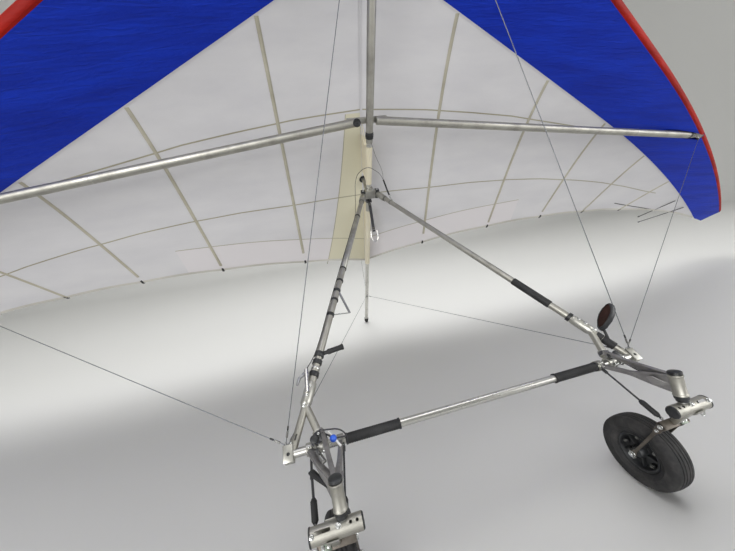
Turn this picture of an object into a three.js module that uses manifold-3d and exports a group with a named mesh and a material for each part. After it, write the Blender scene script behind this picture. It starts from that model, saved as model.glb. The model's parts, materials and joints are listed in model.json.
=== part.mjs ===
// Tandem hang glider with a single-surface sail, a kingpost and two castering front wheels.
// Millimetres. Pieces are placed in the flying frame: x to the glider's left, y aft along the
// keel from the nose, z up. The whole glider is then pitched to stand on its wheels and tail.
import * as THREE from 'three';
import { mergeVertices } from 'three/addons/utils/BufferGeometryUtils.js';
import Module from 'manifold-3d';

const wasm = await Module();
wasm.setup();

// Driving dimensions
const seat = 0.3; // gap left between pieces that touch
const keel = { front: 30, rear: 3975, radius: 22, sleeveRadius: 26, sleeveFrom: 234, sleeveTo: 1436 };
const wing = {
  halfSpan: 5450, root: 3, tubeRadius: 25, tubeSetback: 39, tubeSag: 130, tubeSagAt: 2900,
  sweep: 0.485, bendFrom: 2160, bend: 30.6e-6,
  rootChordEnd: 2830, trailSlope: -0.245, trailCurve: 5.8e-5,
  washoutRoot: 1.5, washoutTip: 12.5, camber: 0.085, cloth: 5,
  bandRoot: 545, bandTaper: -0.04, bandTip: 5150, panelTip: 5080, noseRadius: 31,
};
const crossbar = { radius: 29, innerX: 70, innerY: 1384, innerZ: 60, jointX: 3330, standOff: 140 };
const frame = {
  apex: new THREE.Vector3(43, 1915, -16), corner: new THREE.Vector3(750, 1791, -1796),
  tubeRadius: 17, barRadius: 15, legRadius: 14.5, tubeFrom: 0.04, socketFrom: 0.865, tubeTo: 0.9,
  legFrom: 0.92, innerFootX: 635, gripFrom: 345, gripTo: 555, gripRadius: 18,
};
const caster = {
  head: new THREE.Vector3(600, 1595.1, -1958.7), rake: 35.9, headLength: 72, headRadius: 18.5,
  stemRadius: 13, capHeight: 9, tubeDrop: 81, tubeFrom: 548, tubeTo: 690, tubeRadius: 21.5,
};
const wheel = {
  x: 632, y: 1955, z: -2109, radius: 140, width: 92, hubRadius: 75.3, hubWidth: 76, axleRadius: 6, flats: 32,
};
const kingpost = { y: 1915, radius: 16, foot: 60, top: 1250 };
const wire = { radius: 1.6, sides: 6, noseY: 70, tailY: 3380 };

const paints = {
  aluminium: { color: 0xb9bcbf, roughness: 0.35, metalness: 0.9 },
  castGrey: { color: 0x8f9296, roughness: 0.5, metalness: 0.7 },
  steel: { color: 0x55585c, roughness: 0.45, metalness: 0.9 },
  blackPlastic: { color: 0x17181a, roughness: 0.5, metalness: 0 },
  rubber: { color: 0x1b1b1c, roughness: 0.85, metalness: 0 },
  whiteCloth: { color: 0xdedbd2, roughness: 0.8, metalness: 0 },
  blueCloth: { color: 0x1f45b8, roughness: 0.7, metalness: 0 },
  creamCloth: { color: 0xcfc8a8, roughness: 0.8, metalness: 0 },
  webbing: { color: 0x1c1c1f, roughness: 0.9, metalness: 0 },
};

const vec = (x, y, z) => new THREE.Vector3(x, y, z);
const lerp = (a, b, t) => a.clone().lerp(b, t);
const rad = THREE.MathUtils.degToRad;

// Sail shape
const leadY = (x) => wing.sweep * x + wing.bend * Math.max(0, x - wing.bendFrom) ** 2;
const tubeY = (x) => leadY(x) + wing.tubeSetback;
const tubeZ = (x) => -wing.tubeSag * (1 - ((x - wing.tubeSagAt) / wing.tubeSagAt) ** 2);
const trailY = (x) => wing.rootChordEnd + wing.trailSlope * x + wing.trailCurve * x * x;
const bandY = (x) => leadY(x) + wing.bandRoot + wing.bandTaper * x;

function topZ(x, y) {
  const chord = trailY(x) - tubeY(x);
  const u = Math.max(0, (y - tubeY(x)) / chord);
  const washout = wing.washoutRoot + (wing.washoutTip - wing.washoutRoot) * (x / wing.halfSpan);
  const arch = wing.camber * chord * Math.sin(Math.PI * Math.min(1, u) ** 0.6);
  return tubeZ(x) + u * chord * Math.tan(rad(washout)) + arch + wing.noseRadius * (1 - u);
}

// A closed body from its corners and triangles, turned so that its faces point out.
function closed(corners, triangles) {
  const geometry = new THREE.BufferGeometry();
  let volume = 0;
  for (const [a, b, c] of triangles) {
    volume += corners[a].dot(corners[b].clone().cross(corners[c]));
  }
  const order = volume < 0 ? triangles.map(([a, b, c]) => [a, c, b]) : triangles;
  geometry.setAttribute('position', new THREE.Float32BufferAttribute(corners.flatMap((p) => p.toArray()), 3));
  geometry.setIndex(order.flat());
  return geometry;
}

// A tube of cloth between two sets of closed rings. Both skins split their faces the same way.
function sleeve(outer, inner) {
  const corners = [...outer.flat(), ...inner.flat()];
  const count = outer[0].length;
  const shift = outer.length * count;
  const triangles = [];
  const quad = (a, b, c, d) => triangles.push([a, b, c], [a, c, d]);
  for (let i = 0; i < outer.length - 1; i++) {
    for (let j = 0; j < count; j++) {
      const k = (j + 1) % count;
      quad(i * count + j, i * count + k, (i + 1) * count + k, (i + 1) * count + j);
      quad(shift + i * count + j, shift + (i + 1) * count + j, shift + (i + 1) * count + k, shift + i * count + k);
    }
  }
  const last = (outer.length - 1) * count;
  for (let j = 0; j < count; j++) {
    const k = (j + 1) % count;
    quad(k, j, shift + j, shift + k);
    quad(last + j, last + k, shift + last + k, shift + last + j);
  }
  return closed(corners, triangles);
}

// A sheet of cloth from a grid of points on its upper face.
function sheet(grid, thickness) {
  const rows = grid.length;
  const columns = grid[0].length;
  const corners = [...grid.flat(), ...grid.flat().map((p) => vec(p.x, p.y, p.z - thickness))];
  const under = rows * columns;
  const triangles = [];
  const quad = (a, b, c, d) => triangles.push([a, b, c], [a, c, d]);
  const at = (i, j) => i * columns + j;
  for (let i = 0; i < rows - 1; i++) {
    for (let j = 0; j < columns - 1; j++) {
      quad(at(i, j), at(i + 1, j), at(i + 1, j + 1), at(i, j + 1));
      quad(under + at(i, j), under + at(i, j + 1), under + at(i + 1, j + 1), under + at(i + 1, j));
    }
    quad(at(i, 0), under + at(i, 0), under + at(i + 1, 0), at(i + 1, 0));
    quad(at(i, columns - 1), at(i + 1, columns - 1), under + at(i + 1, columns - 1), under + at(i, columns - 1));
  }
  for (let j = 0; j < columns - 1; j++) {
    quad(at(0, j), at(0, j + 1), under + at(0, j + 1), under + at(0, j));
    quad(at(rows - 1, j), under + at(rows - 1, j), under + at(rows - 1, j + 1), at(rows - 1, j + 1));
  }
  return closed(corners, triangles);
}

function aim(geometry, from, to) {
  const turn = new THREE.Quaternion().setFromUnitVectors(vec(0, 1, 0), to.clone().sub(from).normalize());
  geometry.applyQuaternion(turn);
  const middle = lerp(from, to, 0.5);
  return geometry.translate(middle.x, middle.y, middle.z);
}

const rod = (from, to, radius, sides = 16) =>
  aim(new THREE.CylinderGeometry(radius, radius, from.distanceTo(to), sides), from, to);

const box = (x0, x1, y0, y1, z0, z1) =>
  new THREE.BoxGeometry(x1 - x0, y1 - y0, z1 - z0).translate((x0 + x1) / 2, (y0 + y1) / 2, (z0 + z1) / 2);

// A turned piece along x, from a profile of [radius, x offset].
const turned = (profile, at, sides, turn) =>
  new THREE.LatheGeometry(profile.map(([r, h]) => new THREE.Vector2(r, h)), sides)
    .rotateZ(-Math.PI / 2).rotateX(turn).translate(at.x, at.y, at.z);

// A bar that widens from its root to its head, given as half width and half height at each end.
function taper(root, head, rootSize, headSize, up) {
  const along = head.clone().sub(root).normalize();
  const side = along.clone().cross(up).normalize();
  const rise = side.clone().cross(along).normalize();
  const ring = (p, [w, h]) => [[-1, -1], [1, -1], [1, 1], [-1, 1]].map(([a, b]) =>
    p.clone().addScaledVector(side, a * w).addScaledVector(rise, b * h));
  const corners = [...ring(root, rootSize), ...ring(head, headSize)];
  const faces = [[0, 1, 2], [0, 2, 3], [4, 6, 5], [4, 7, 6]];
  for (let j = 0; j < 4; j++) {
    const k = (j + 1) % 4;
    faces.push([j, j + 4, k + 4], [j, k + 4, k]);
  }
  return closed(corners, faces);
}

function solid(geometry) {
  const clean = geometry.clone();
  clean.deleteAttribute('normal');
  clean.deleteAttribute('uv');
  const merged = mergeVertices(clean, 1e-3);
  return new wasm.Manifold(new wasm.Mesh({
    numProp: 3,
    vertProperties: new Float32Array(merged.attributes.position.array),
    triVerts: new Uint32Array(merged.index.array),
  }));
}

const join = (...shapes) => shapes.map((s) => s.isBufferGeometry ? solid(s) : s).reduce((a, b) => a.add(b));
const cut = (shape, ...tools) => tools.reduce((a, b) => a.subtract(b.isBufferGeometry ? solid(b) : b),
  shape.isBufferGeometry ? solid(shape) : shape);

function shaped(body) {
  if (body.isBufferGeometry) return body;
  const mesh = body.getMesh();
  const geometry = new THREE.BufferGeometry();
  const positions = new Float32Array(mesh.numVert * 3);
  for (let i = 0; i < mesh.numVert; i++) {
    positions.set(mesh.vertProperties.subarray(i * mesh.numProp, i * mesh.numProp + 3), i * 3);
  }
  geometry.setAttribute('position', new THREE.BufferAttribute(positions, 3));
  geometry.setIndex(new THREE.BufferAttribute(new Uint32Array(mesh.triVerts), 1));
  return geometry;
}

const glider = new THREE.Group();

function add(name, body, paint) {
  const mesh = new THREE.Mesh(shaped(body), new THREE.MeshStandardMaterial(paints[paint]));
  mesh.name = name;
  glider.add(mesh);
}

const sides = [['left', 1], ['right', -1]];
const mirrored = (p, s) => vec(p.x * s, p.y, p.z);

// Keel
const tailCap = { radius: 27, length: 60 };
const along = (y, z = 0) => vec(0, y, z);
add('keel_tube', rod(along(keel.front), along(keel.rear), keel.radius, 24), 'aluminium');
const ringPiece = (from, to, outer, inner, count) =>
  cut(rod(along(from), along(to), outer, count), rod(along(from - 1), along(to + 1), inner, count));
const keelBore = keel.radius + seat;
add('keel_sleeve', ringPiece(keel.sleeveFrom, keel.sleeveTo, keel.sleeveRadius, keelBore, 24), 'aluminium');
add('keel_collar', ringPiece(keel.sleeveTo + seat, keel.sleeveTo + 45, 28, keelBore, 24), 'blackPlastic');

function tailPlug() {
  const dome = [];
  const steps = 6;
  for (let i = 0; i <= steps; i++) {
    const turn = (i / steps) * Math.PI / 2;
    dome.push(new THREE.Vector2(tailCap.radius * Math.cos(turn), tailCap.radius * Math.sin(turn)));
  }
  dome[steps].x = 0;
  const profile = [new THREE.Vector2(0, -tailCap.length),
    new THREE.Vector2(tailCap.radius, -tailCap.length), ...dome];
  const plug = new THREE.LatheGeometry(profile, 24).translate(0, keel.rear + seat + 3, 0);
  return cut(plug, rod(along(keel.rear - 100), along(keel.rear + seat), keel.radius + seat, 24));
}
add('keel_end_cap', tailPlug(), 'rubber');

// Pitch of the parked glider: the floor touches the flats of the tyres and the round tail cap
const tailCentre = along(keel.rear + seat + 3);
const flatRadius = wheel.radius * Math.cos(Math.PI / wheel.flats);
const gap = vec(0, tailCentre.y - wheel.y, tailCentre.z - wheel.z);
const pitch = Math.atan2(gap.z, gap.y) + Math.asin((flatRadius - tailCap.radius) / gap.length());
const down = vec(0, Math.sin(pitch), -Math.cos(pitch)); // straight down once the glider is parked

// Nose plates hold the keel and both leading edges
const tubeEndX = 60;
const nosePlate = { from: 20, to: 230, halfWidth: 88, upper: keel.radius + seat, lower: 34, thickness: 4 };

function nosePlates() {
  const outline = new THREE.Shape([
    new THREE.Vector2(-26, nosePlate.from), new THREE.Vector2(26, nosePlate.from),
    new THREE.Vector2(nosePlate.halfWidth, nosePlate.from + 35),
    new THREE.Vector2(nosePlate.halfWidth, nosePlate.from + 105),
    new THREE.Vector2(32, nosePlate.to), new THREE.Vector2(-32, nosePlate.to),
    new THREE.Vector2(-nosePlate.halfWidth, nosePlate.from + 105),
    new THREE.Vector2(-nosePlate.halfWidth, nosePlate.from + 35),
  ]);
  const plate = (z) => new THREE.ExtrudeGeometry(outline,
    { depth: nosePlate.thickness, bevelEnabled: false, steps: 1 }).translate(0, 0, z);
  const bolt = (x, y) => rod(vec(x, y, -nosePlate.lower - 9), vec(x, y, nosePlate.upper + 9), 5, 8);
  const saddle = box(-12, 12, 60, 200, -nosePlate.lower, -keel.radius + 6);
  const body = join(plate(-nosePlate.lower - nosePlate.thickness), plate(nosePlate.upper), saddle,
    bolt(0, 27), bolt(46, 116), bolt(-46, 116));
  return cut(body, rod(along(keel.front - 1), along(300), keel.radius + seat, 24));
}

// Leading edge tubes, straight inboard and bowed aft towards the tips
class LeadingEdge extends THREE.Curve {
  constructor(side) {
    super();
    this.side = side;
  }

  getPoint(t, target = vec(0, 0, 0)) {
    const x = tubeEndX + (wing.halfSpan - 40 - tubeEndX) * t;
    return target.set(this.side * x, tubeY(x), tubeZ(x));
  }
}

const circle = (radius, count) => {
  const points = [];
  for (let i = 0; i < count; i++) {
    const turn = (i / count) * 2 * Math.PI;
    points.push(new THREE.Vector2(radius * Math.cos(turn), radius * Math.sin(turn)));
  }
  return new THREE.Shape(points);
};

const tubeSteps = 10;
const edgeStations = new LeadingEdge(1).getSpacedPoints(tubeSteps).map((p) => p.x);
const edgeTube = (s, radius) => new THREE.ExtrudeGeometry(circle(radius, 12),
  { steps: tubeSteps, bevelEnabled: false, extrudePath: new LeadingEdge(s) });
const edgeBores = [edgeTube(1, wing.tubeRadius + seat), edgeTube(-1, wing.tubeRadius + seat)];
add('nose_plates', cut(nosePlates(), ...edgeBores), 'castGrey');

// Crossbars run above the keel from a centre hinge to a bracket on each leading edge
const innerEnd = vec(crossbar.innerX, crossbar.innerY, crossbar.innerZ);
const joint = vec(crossbar.jointX, tubeY(crossbar.jointX), tubeZ(crossbar.jointX));
const outerEnd = joint.clone().addScaledVector(innerEnd.clone().sub(joint).normalize(), crossbar.standOff);
const tangAt = lerp(outerEnd, joint, 0.25);
const upperReach = (s) => mirrored(tangAt.clone().add(vec(0, 0, 24)), s); // foot of the upper side wire
const kingTop = vec(0, kingpost.y, kingpost.top);
const hinge = { reach: 150, half: 20, thickness: 5 };

function crossbarHinge() {
  const top = crossbar.innerZ + crossbar.radius;
  const y0 = crossbar.innerY;
  const plate = box(-hinge.reach, hinge.reach, y0 - hinge.half, y0 + hinge.half, top - 14, top + hinge.thickness);
  const post = box(-12, 12, y0 - 16, y0 + 16, keel.sleeveRadius + seat, top);
  const bars = sides.map(([, s]) => rod(mirrored(innerEnd, s), mirrored(outerEnd, s), crossbar.radius + seat, 20));
  return cut(join(plate, post), ...bars);
}

function edgeBracket(s) {
  const block = taper(mirrored(lerp(outerEnd, joint, 0.003), s), mirrored(joint, s), [20, 18], [12, 8],
    vec(0, 0, 1));
  const tang = box(-14, 14, -4, 4, -62, 10).translate(tangAt.x * s, tangAt.y, tangAt.z);
  const bar = rod(mirrored(innerEnd, s), mirrored(outerEnd, s), crossbar.radius + seat, 20);
  return cut(join(block, tang), edgeTube(s, wing.tubeRadius + seat), bar);
}

// The leading edge pocket is a hollow sleeve of cloth around the tube, closed at its rear seam.
// Its section is a list of [y, z], cut short of the rear seam by a share of its depth.
function pocketSection(x, short) {
  const y0 = tubeY(x);
  const z0 = tubeZ(x);
  const depth = Math.min(bandY(x), trailY(x)) - y0;
  const half = wing.noseRadius;
  const front = wing.tubeSetback;
  const above = (share) => [y0 + depth * share, topZ(x, y0 + depth * share)];
  const between = (a, b, t) => [a[0] + (b[0] - a[0]) * t, a[1] + (b[1] - a[1]) * t];
  const seamTop = above(1);
  const seamLow = [seamTop[0], seamTop[1] - wing.cloth];
  const belly = between([y0, z0 - half], seamLow, 0.5);
  return [between(seamLow, belly, short * 2), belly, [y0 + 12, z0 - half], [y0 - 6, z0 - half],
    [y0 - front * 0.75, z0 - half * 0.62], [y0 - front, z0], [y0 - front * 0.75, z0 + half * 0.62],
    [y0 - 6, z0 + half], above(0.12), above(0.3), above(0.5), above(0.75),
    between(seamTop, above(0.75), short * 4)];
}

// A section drawn in by the same distance on every edge
function inward(section, distance) {
  const count = section.length;
  const normals = section.map(([y, z], i) => {
    const [nextY, nextZ] = section[(i + 1) % count];
    const length = Math.hypot(nextY - y, nextZ - z);
    return [(nextZ - z) / length, (y - nextY) / length];
  });
  return section.map(([y, z], i) => {
    const [ay, az] = normals[(i + count - 1) % count];
    const [by, bz] = normals[i];
    const reach = distance / (1 + ay * by + az * bz);
    return [y + (ay + by) * reach, z + (az + bz) * reach];
  });
}

const skin = 2.6;
const linedTo = 0.1; // share of the depth at the rear seam where both skins are one
const shared = [95, ...edgeStations.slice(1, -1)]; // stations that both sail panels use

function edgePocket(s) {
  const stations = [...shared, wing.panelTip, wing.bandTip, wing.halfSpan - 60];
  const placed = (x, section) => section.map(([y, z]) => vec(s * x, y, z));
  const body = sleeve(stations.map((x) => placed(x, pocketSection(x, 0))),
    stations.map((x) => placed(x, inward(pocketSection(x, linedTo), skin))));
  const bar = rod(mirrored(lerp(innerEnd, outerEnd, 0.8), s), mirrored(lerp(outerEnd, joint, 0.6), s),
    crossbar.radius + 7, 16);
  const lowerHole = box(-22, 22, -16, 16, -120, 0).translate(tangAt.x * s, tangAt.y, tangAt.z);
  const upperHole = rod(upperReach(s), mirrored(lerp(upperReach(1), kingTop, 0.2), s), 8, 8);
  return cut(body, bar, lowerHole, upperHole);
}

// The single-surface panel runs from the pocket's rear seam to the trailing edge. Between the
// pockets it reaches forward over the nose plates.
const noseCloth = { y: 60, lowest: 41 };

function panelGrid(s, stations, shares, frontOf, rearOf) {
  return stations.map((x) => shares.map((u) => {
    const y = frontOf(x) + (rearOf(x) - frontOf(x)) * u;
    return vec(s * x, y, Math.max(topZ(x, y), y < wing.bandRoot ? noseCloth.lowest : -wing.tubeSag));
  }));
}

function mainPanel(s) {
  const seam = (x) => bandY(x) + seat * 2;
  const body = sheet(panelGrid(s, [wing.root, ...shared, wing.panelTip], [0, 0.18, 0.4, 0.68, 1], seam, trailY),
    wing.cloth);
  const nose = sheet(panelGrid(s, [wing.root, shared[0] - seat * 2], [0, 0.15, 0.4, 0.7, 1], () => noseCloth.y,
    (x) => seam(x) + 12), wing.cloth);
  const post = rod(vec(0, kingpost.y, 0), vec(0, kingpost.y, 600), kingpost.radius + 8, 16);
  return cut(join(body, nose), post);
}

for (const [name, s] of sides) {
  add(`leading_edge_${name}`, edgeTube(s, wing.tubeRadius), 'aluminium');
  add(`crossbar_${name}`, rod(mirrored(innerEnd, s), mirrored(outerEnd, s), crossbar.radius, 20), 'aluminium');
  add(`crossbar_bracket_${name}`, edgeBracket(s), 'castGrey');
  add(`leading_edge_pocket_${name}`, edgePocket(s), 'blueCloth');
  add(`sail_${name}`, mainPanel(s), 'whiteCloth');
}
add('crossbar_hinge', crossbarHinge(), 'blackPlastic');

// Keel pocket: a web of cloth under the sail with a tube that the keel passes through
function keelPocket(from, to) {
  const stations = 5;
  const web = [];
  for (let i = 0; i <= stations; i++) {
    const y = from + ((to - from) * i) / stations;
    web.push([y, topZ(wing.root, y) - wing.cloth - seat]);
  }
  const outline = new THREE.Shape([new THREE.Vector2(from, keel.radius + 3),
    new THREE.Vector2(to, keel.radius + 3), ...web.reverse().map(([y, z]) => new THREE.Vector2(y, z))]);
  const wall = new THREE.ExtrudeGeometry(outline, { depth: 6, bevelEnabled: false, steps: 1 })
    .applyMatrix4(new THREE.Matrix4().makeBasis(vec(0, 1, 0), vec(0, 0, 1), vec(1, 0, 0)))
    .translate(-3, 0, 0);
  const tube = rod(along(from), along(to), keel.radius + 5, 20);
  return cut(join(wall, tube), rod(along(from - 1), along(to + 1), keel.radius + seat, 20));
}
add('keel_pocket_front', keelPocket(1540, 1846), 'creamCloth');
add('keel_pocket_rear', keelPocket(2110, 2800), 'creamCloth');

// Kingpost on a foot that straddles the keel
add('kingpost', join(
  rod(vec(0, kingpost.y, kingpost.foot - 5), kingTop, kingpost.radius, 20),
  cut(box(-30, 30, kingpost.y - 35, kingpost.y + 35, 5, kingpost.foot),
    rod(along(kingpost.y - 60), along(kingpost.y + 60), keel.radius + seat, 24)),
), 'aluminium');

// Control frame
const lineAt = (t, s = 1) => mirrored(lerp(frame.apex, frame.corner, t), s);
const apexBlock = { from: 1880, to: 1950, half: 74, top: -keel.radius - seat, bottom: -66 };

function apexBracket() {
  const tubes = sides.map(([, s]) => rod(lineAt(frame.tubeFrom, s), lineAt(0.2, s), frame.tubeRadius + seat, 20));
  const saddle = cut(box(-32, 32, apexBlock.from, apexBlock.to, apexBlock.bottom + 10, 0),
    rod(along(apexBlock.from - 5), along(apexBlock.to + 5), keel.radius + seat, 24));
  const bar = box(-apexBlock.half, apexBlock.half, apexBlock.from, apexBlock.to,
    apexBlock.bottom, apexBlock.top - 8);
  const skirt = sides.map(([, s]) => rod(lineAt(0.03, s), lineAt(0.075, s), frame.tubeRadius + 7, 16));
  return cut(join(saddle, bar, ...skirt), ...tubes, rod(along(1800), along(2000), keel.radius + seat, 24));
}
add('control_frame_apex', apexBracket(), 'blackPlastic');

const corner = { in: 742, out: 778, half: 19, top: -1766, bottom: -1822 };
const barEnd = 762;
const barY = frame.corner.y;
const barZ = frame.corner.z;
const barAt = (x) => vec(x, barY, barZ);
const bar = (radius, to = barEnd) => rod(barAt(-to), barAt(to), radius, 20);
const clamp = (x0, x1, s) => rod(barAt(s * x0), barAt(s * x1), frame.barRadius + 7, 16);
const cornerBox = (s, grow = 0) => box(
  Math.min(s * corner.in, s * corner.out) - grow, Math.max(s * corner.in, s * corner.out) + grow,
  barY - corner.half - grow, barY + corner.half + grow, corner.bottom - grow, corner.top + grow);
const legTop = lineAt(0.912);
const innerFoot = vec(frame.innerFootX, barY, barZ);

function lowerLegs(s) {
  const socket = rod(lineAt(frame.socketFrom, s), lineAt(frame.legFrom, s), frame.tubeRadius + 6, 20);
  const outer = rod(lineAt(0.905, s), lineAt(1.0, s), frame.legRadius, 16);
  const inner = rod(mirrored(legTop, s), mirrored(innerFoot, s), frame.legRadius, 16);
  const foot = clamp(frame.innerFootX - 17, frame.innerFootX + 17, s);
  return cut(join(socket, outer, inner, foot),
    rod(lineAt(0.8, s), lineAt(frame.tubeTo + 0.0005, s), frame.tubeRadius + seat, 20),
    bar(frame.barRadius + seat, 900), cornerBox(s, seat));
}

for (const [name, s] of sides) {
  add(`downtube_${name}`, rod(lineAt(frame.tubeFrom, s), lineAt(frame.tubeTo, s), frame.tubeRadius, 20),
    'aluminium');
  add(`lower_leg_${name}`, lowerLegs(s), 'aluminium');
  add(`base_bar_grip_${name}`, cut(rod(barAt(s * frame.gripFrom), barAt(s * frame.gripTo), frame.gripRadius, 20),
    bar(frame.barRadius + seat, 900)), 'rubber');
  add(`corner_block_${name}`, cut(cornerBox(s), bar(frame.barRadius + seat)), 'castGrey');
}
add('base_bar', bar(frame.barRadius), 'aluminium');

// Outriggers: three arms run forward from the base bar to the head tube of each caster
const rake = rad(caster.rake);
const headAxis = vec(0, Math.sin(rake), -Math.cos(rake));
const headAt = (down, s = 1) => mirrored(caster.head.clone().addScaledVector(headAxis, down), s);
const headHalf = caster.headLength / 2;
const arms = [ // root x, root y, root z, half height at the head, distance down the head tube
  { x: 686, y: barY - 18, z: barZ - 8, rise: 32, at: -1 },
  { x: 634, y: barY - 16, z: barZ + 42, rise: 24, at: -12 },
  { x: 574, y: barY - 18, z: barZ - 8, rise: 32, at: -1 },
];
const gusset = { reach: 0.42, halfThickness: 3, rootHalf: 22, headHalf: 10 };

function outrigger(s) {
  const pieces = arms.map((arm) => taper(vec(s * arm.x, arm.y, arm.z), headAt(arm.at, s), [9, 11], [8, arm.rise],
    headAxis.clone().negate()));
  const strap = rod(mirrored(lerp(innerFoot, legTop, 0.18), s), mirrored(lerp(innerFoot, legTop, 0.34), s),
    frame.legRadius + 6, 16);
  const head = rod(headAt(-headHalf, s), headAt(headHalf, s), caster.headRadius, 20);
  const rootMiddle = vec((arms[0].x + arms[2].x) / 2, arms[0].y, arms[0].z);
  const plate = taper(mirrored(lerp(headAt(0), rootMiddle, gusset.reach), s), headAt(0, s),
    [gusset.rootHalf, gusset.halfThickness], [gusset.headHalf, gusset.halfThickness], headAxis.clone().negate());
  const body = join(...pieces, plate, head, strap, clamp(562, 586, s), clamp(674, 698, s));
  return cut(body, bar(frame.barRadius + seat, 900),
    rod(mirrored(legTop, s), mirrored(innerFoot, s), frame.legRadius + seat, 16),
    rod(headAt(-200, s), headAt(200, s), caster.stemRadius + 0.7, 20));
}

// Casters: a raked stem over a cross tube, and a fork that trails the wheel behind it
const tubeAt = headAt(caster.tubeDrop);
const crossTube = (s, radius) => rod(vec(s * caster.tubeFrom, tubeAt.y, tubeAt.z),
  vec(s * caster.tubeTo, tubeAt.y, tubeAt.z), radius, 24);
const blade = {
  inner: wheel.x - wheel.width / 2 - 12, outer: wheel.x + wheel.width / 2 + 6, thickness: 6,
  crownHalf: 11, axleHalf: 6.5, eyeRadius: 11,
};
const crown = { y: 1749, z: -2052, depth: 8, half: 15 };

function fork(s) {
  const crownBox = box(Math.min(s * blade.inner, s * (blade.outer + blade.thickness)),
    Math.max(s * blade.inner, s * (blade.outer + blade.thickness)),
    crown.y - crown.depth, crown.y + crown.depth, crown.z - crown.half, crown.z + crown.half);
  const beam = taper(vec(s * wheel.x, tubeAt.y, tubeAt.z - 8), vec(s * wheel.x, crown.y, crown.z),
    [12, 10], [12, 10], vec(0, 0, 1));
  const blades = [blade.inner, blade.outer].flatMap((x) => {
    const middle = s * (x + blade.thickness / 2);
    const eye = rod(vec(s * x, wheel.y, wheel.z), vec(s * (x + blade.thickness), wheel.y, wheel.z),
      blade.eyeRadius, 20);
    return [taper(vec(middle, crown.y, crown.z), vec(middle, wheel.y, wheel.z),
      [blade.thickness / 2, blade.crownHalf], [blade.thickness / 2, blade.axleHalf], vec(0, 0, 1)), eye];
  });
  return cut(join(crownBox, beam, ...blades), crossTube(s, caster.tubeRadius + seat),
    rod(vec(s * 500, wheel.y, wheel.z), vec(s * 760, wheel.y, wheel.z), wheel.axleRadius + seat, 16));
}

function axle(s) {
  const from = blade.inner - seat;
  const to = blade.outer + blade.thickness + seat;
  const at = (x) => vec(s * x, wheel.y, wheel.z);
  return join(rod(at(from - 12), at(to + 12), wheel.axleRadius, 16),
    rod(at(from - 8), at(from), 11, 6), rod(at(to), at(to + 8), 11, 6));
}

const tyreProfile = [[75.6, -30], [94, -42], [114, -46], [132, -35], [140, -14],
  [140, 14], [132, 35], [114, 46], [94, 42], [75.6, 30], [75.6, -30]];
const bore = wheel.axleRadius + 0.6;
const hubHalf = wheel.hubWidth / 2;
const hubProfile = [[bore, -hubHalf], [24, -hubHalf], [28, -18], [62, -18], [68, -32], [wheel.hubRadius, -32],
  [wheel.hubRadius, 32], [68, 32], [62, 18], [28, 18], [24, hubHalf], [bore, hubHalf], [bore, -hubHalf]];
const flatTurn = Math.PI / wheel.flats + pitch; // puts a flat of the tyre on the floor

for (const [name, s] of sides) {
  add(`outrigger_${name}`, outrigger(s), 'castGrey');
  add(`caster_tube_${name}`, join(crossTube(s, caster.tubeRadius),
    rod(headAt(-headHalf - 3, s), headAt(caster.tubeDrop, s), caster.stemRadius, 20),
    rod(headAt(headHalf + 1, s), headAt(headHalf + 9, s), caster.headRadius + 1, 20)), 'aluminium');
  add(`caster_cap_${name}`, rod(headAt(-headHalf - 3 - caster.capHeight, s), headAt(-headHalf - 3 - seat, s),
    caster.headRadius + 1, 20), 'blackPlastic');
  add(`wheel_fork_${name}`, fork(s), 'steel');
  add(`wheel_axle_${name}`, axle(s), 'steel');
  const centre = vec(s * wheel.x, wheel.y, wheel.z);
  add(`wheel_hub_${name}`, turned(hubProfile, centre, wheel.flats, flatTurn), 'blackPlastic');
  add(`tyre_${name}`, turned(tyreProfile, centre, wheel.flats, flatTurn), 'rubber');
}

// A hang strap swings on a loop around the keel. Its carabiner hangs straight down when parked.
const strap = { y: 1998, drop: 35, knuckle: 5, halfWidth: 21, length: 244, loopHalf: 23 };
const loopAt = along(strap.y, -strap.drop);
const hang = (distance, x = 0) => loopAt.clone().addScaledVector(down, distance).setX(x);

function hangLoop() {
  const ring = ringPiece(strap.y - strap.loopHalf, strap.y + strap.loopHalf, keel.radius + 5, keelBore, 20);
  const knuckle = rod(loopAt.clone().setX(-strap.halfWidth), loopAt.clone().setX(strap.halfWidth),
    strap.knuckle, 12);
  const neck = box(-strap.halfWidth, strap.halfWidth, strap.y - 3, strap.y + 3, -strap.drop, -keel.radius - 3);
  return join(ring, knuckle, neck);
}

const hangStrap = () => taper(hang(strap.knuckle + seat * 2), hang(strap.knuckle + strap.length),
  [strap.halfWidth, 2.5], [14, 4], vec(1, 0, 0).cross(down).negate());

function carabiner() {
  const start = strap.knuckle + strap.length + seat;
  const loop = new THREE.Shape([[-28, 0], [28, 0], [34, 20], [34, 75], [14, 104], [-14, 104], [-34, 75], [-34, 20]]
    .map(([x, y]) => new THREE.Vector2(x, y)));
  loop.holes.push(new THREE.Path([[-18, 11], [-23, 24], [-23, 70], [-9, 92], [9, 92], [23, 70], [23, 24], [18, 11]]
    .map(([x, y]) => new THREE.Vector2(x, y))));
  const normal = vec(1, 0, 0).cross(down);
  const place = new THREE.Matrix4().makeBasis(vec(1, 0, 0), down, normal)
    .setPosition(hang(start).addScaledVector(normal, -5));
  return new THREE.ExtrudeGeometry(loop, { depth: 10, bevelEnabled: false, steps: 1 }).applyMatrix4(place);
}
add('hang_loop', hangLoop(), 'webbing');
add('hang_strap', hangStrap(), 'webbing');
add('carabiner', carabiner(), 'steel');

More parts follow.
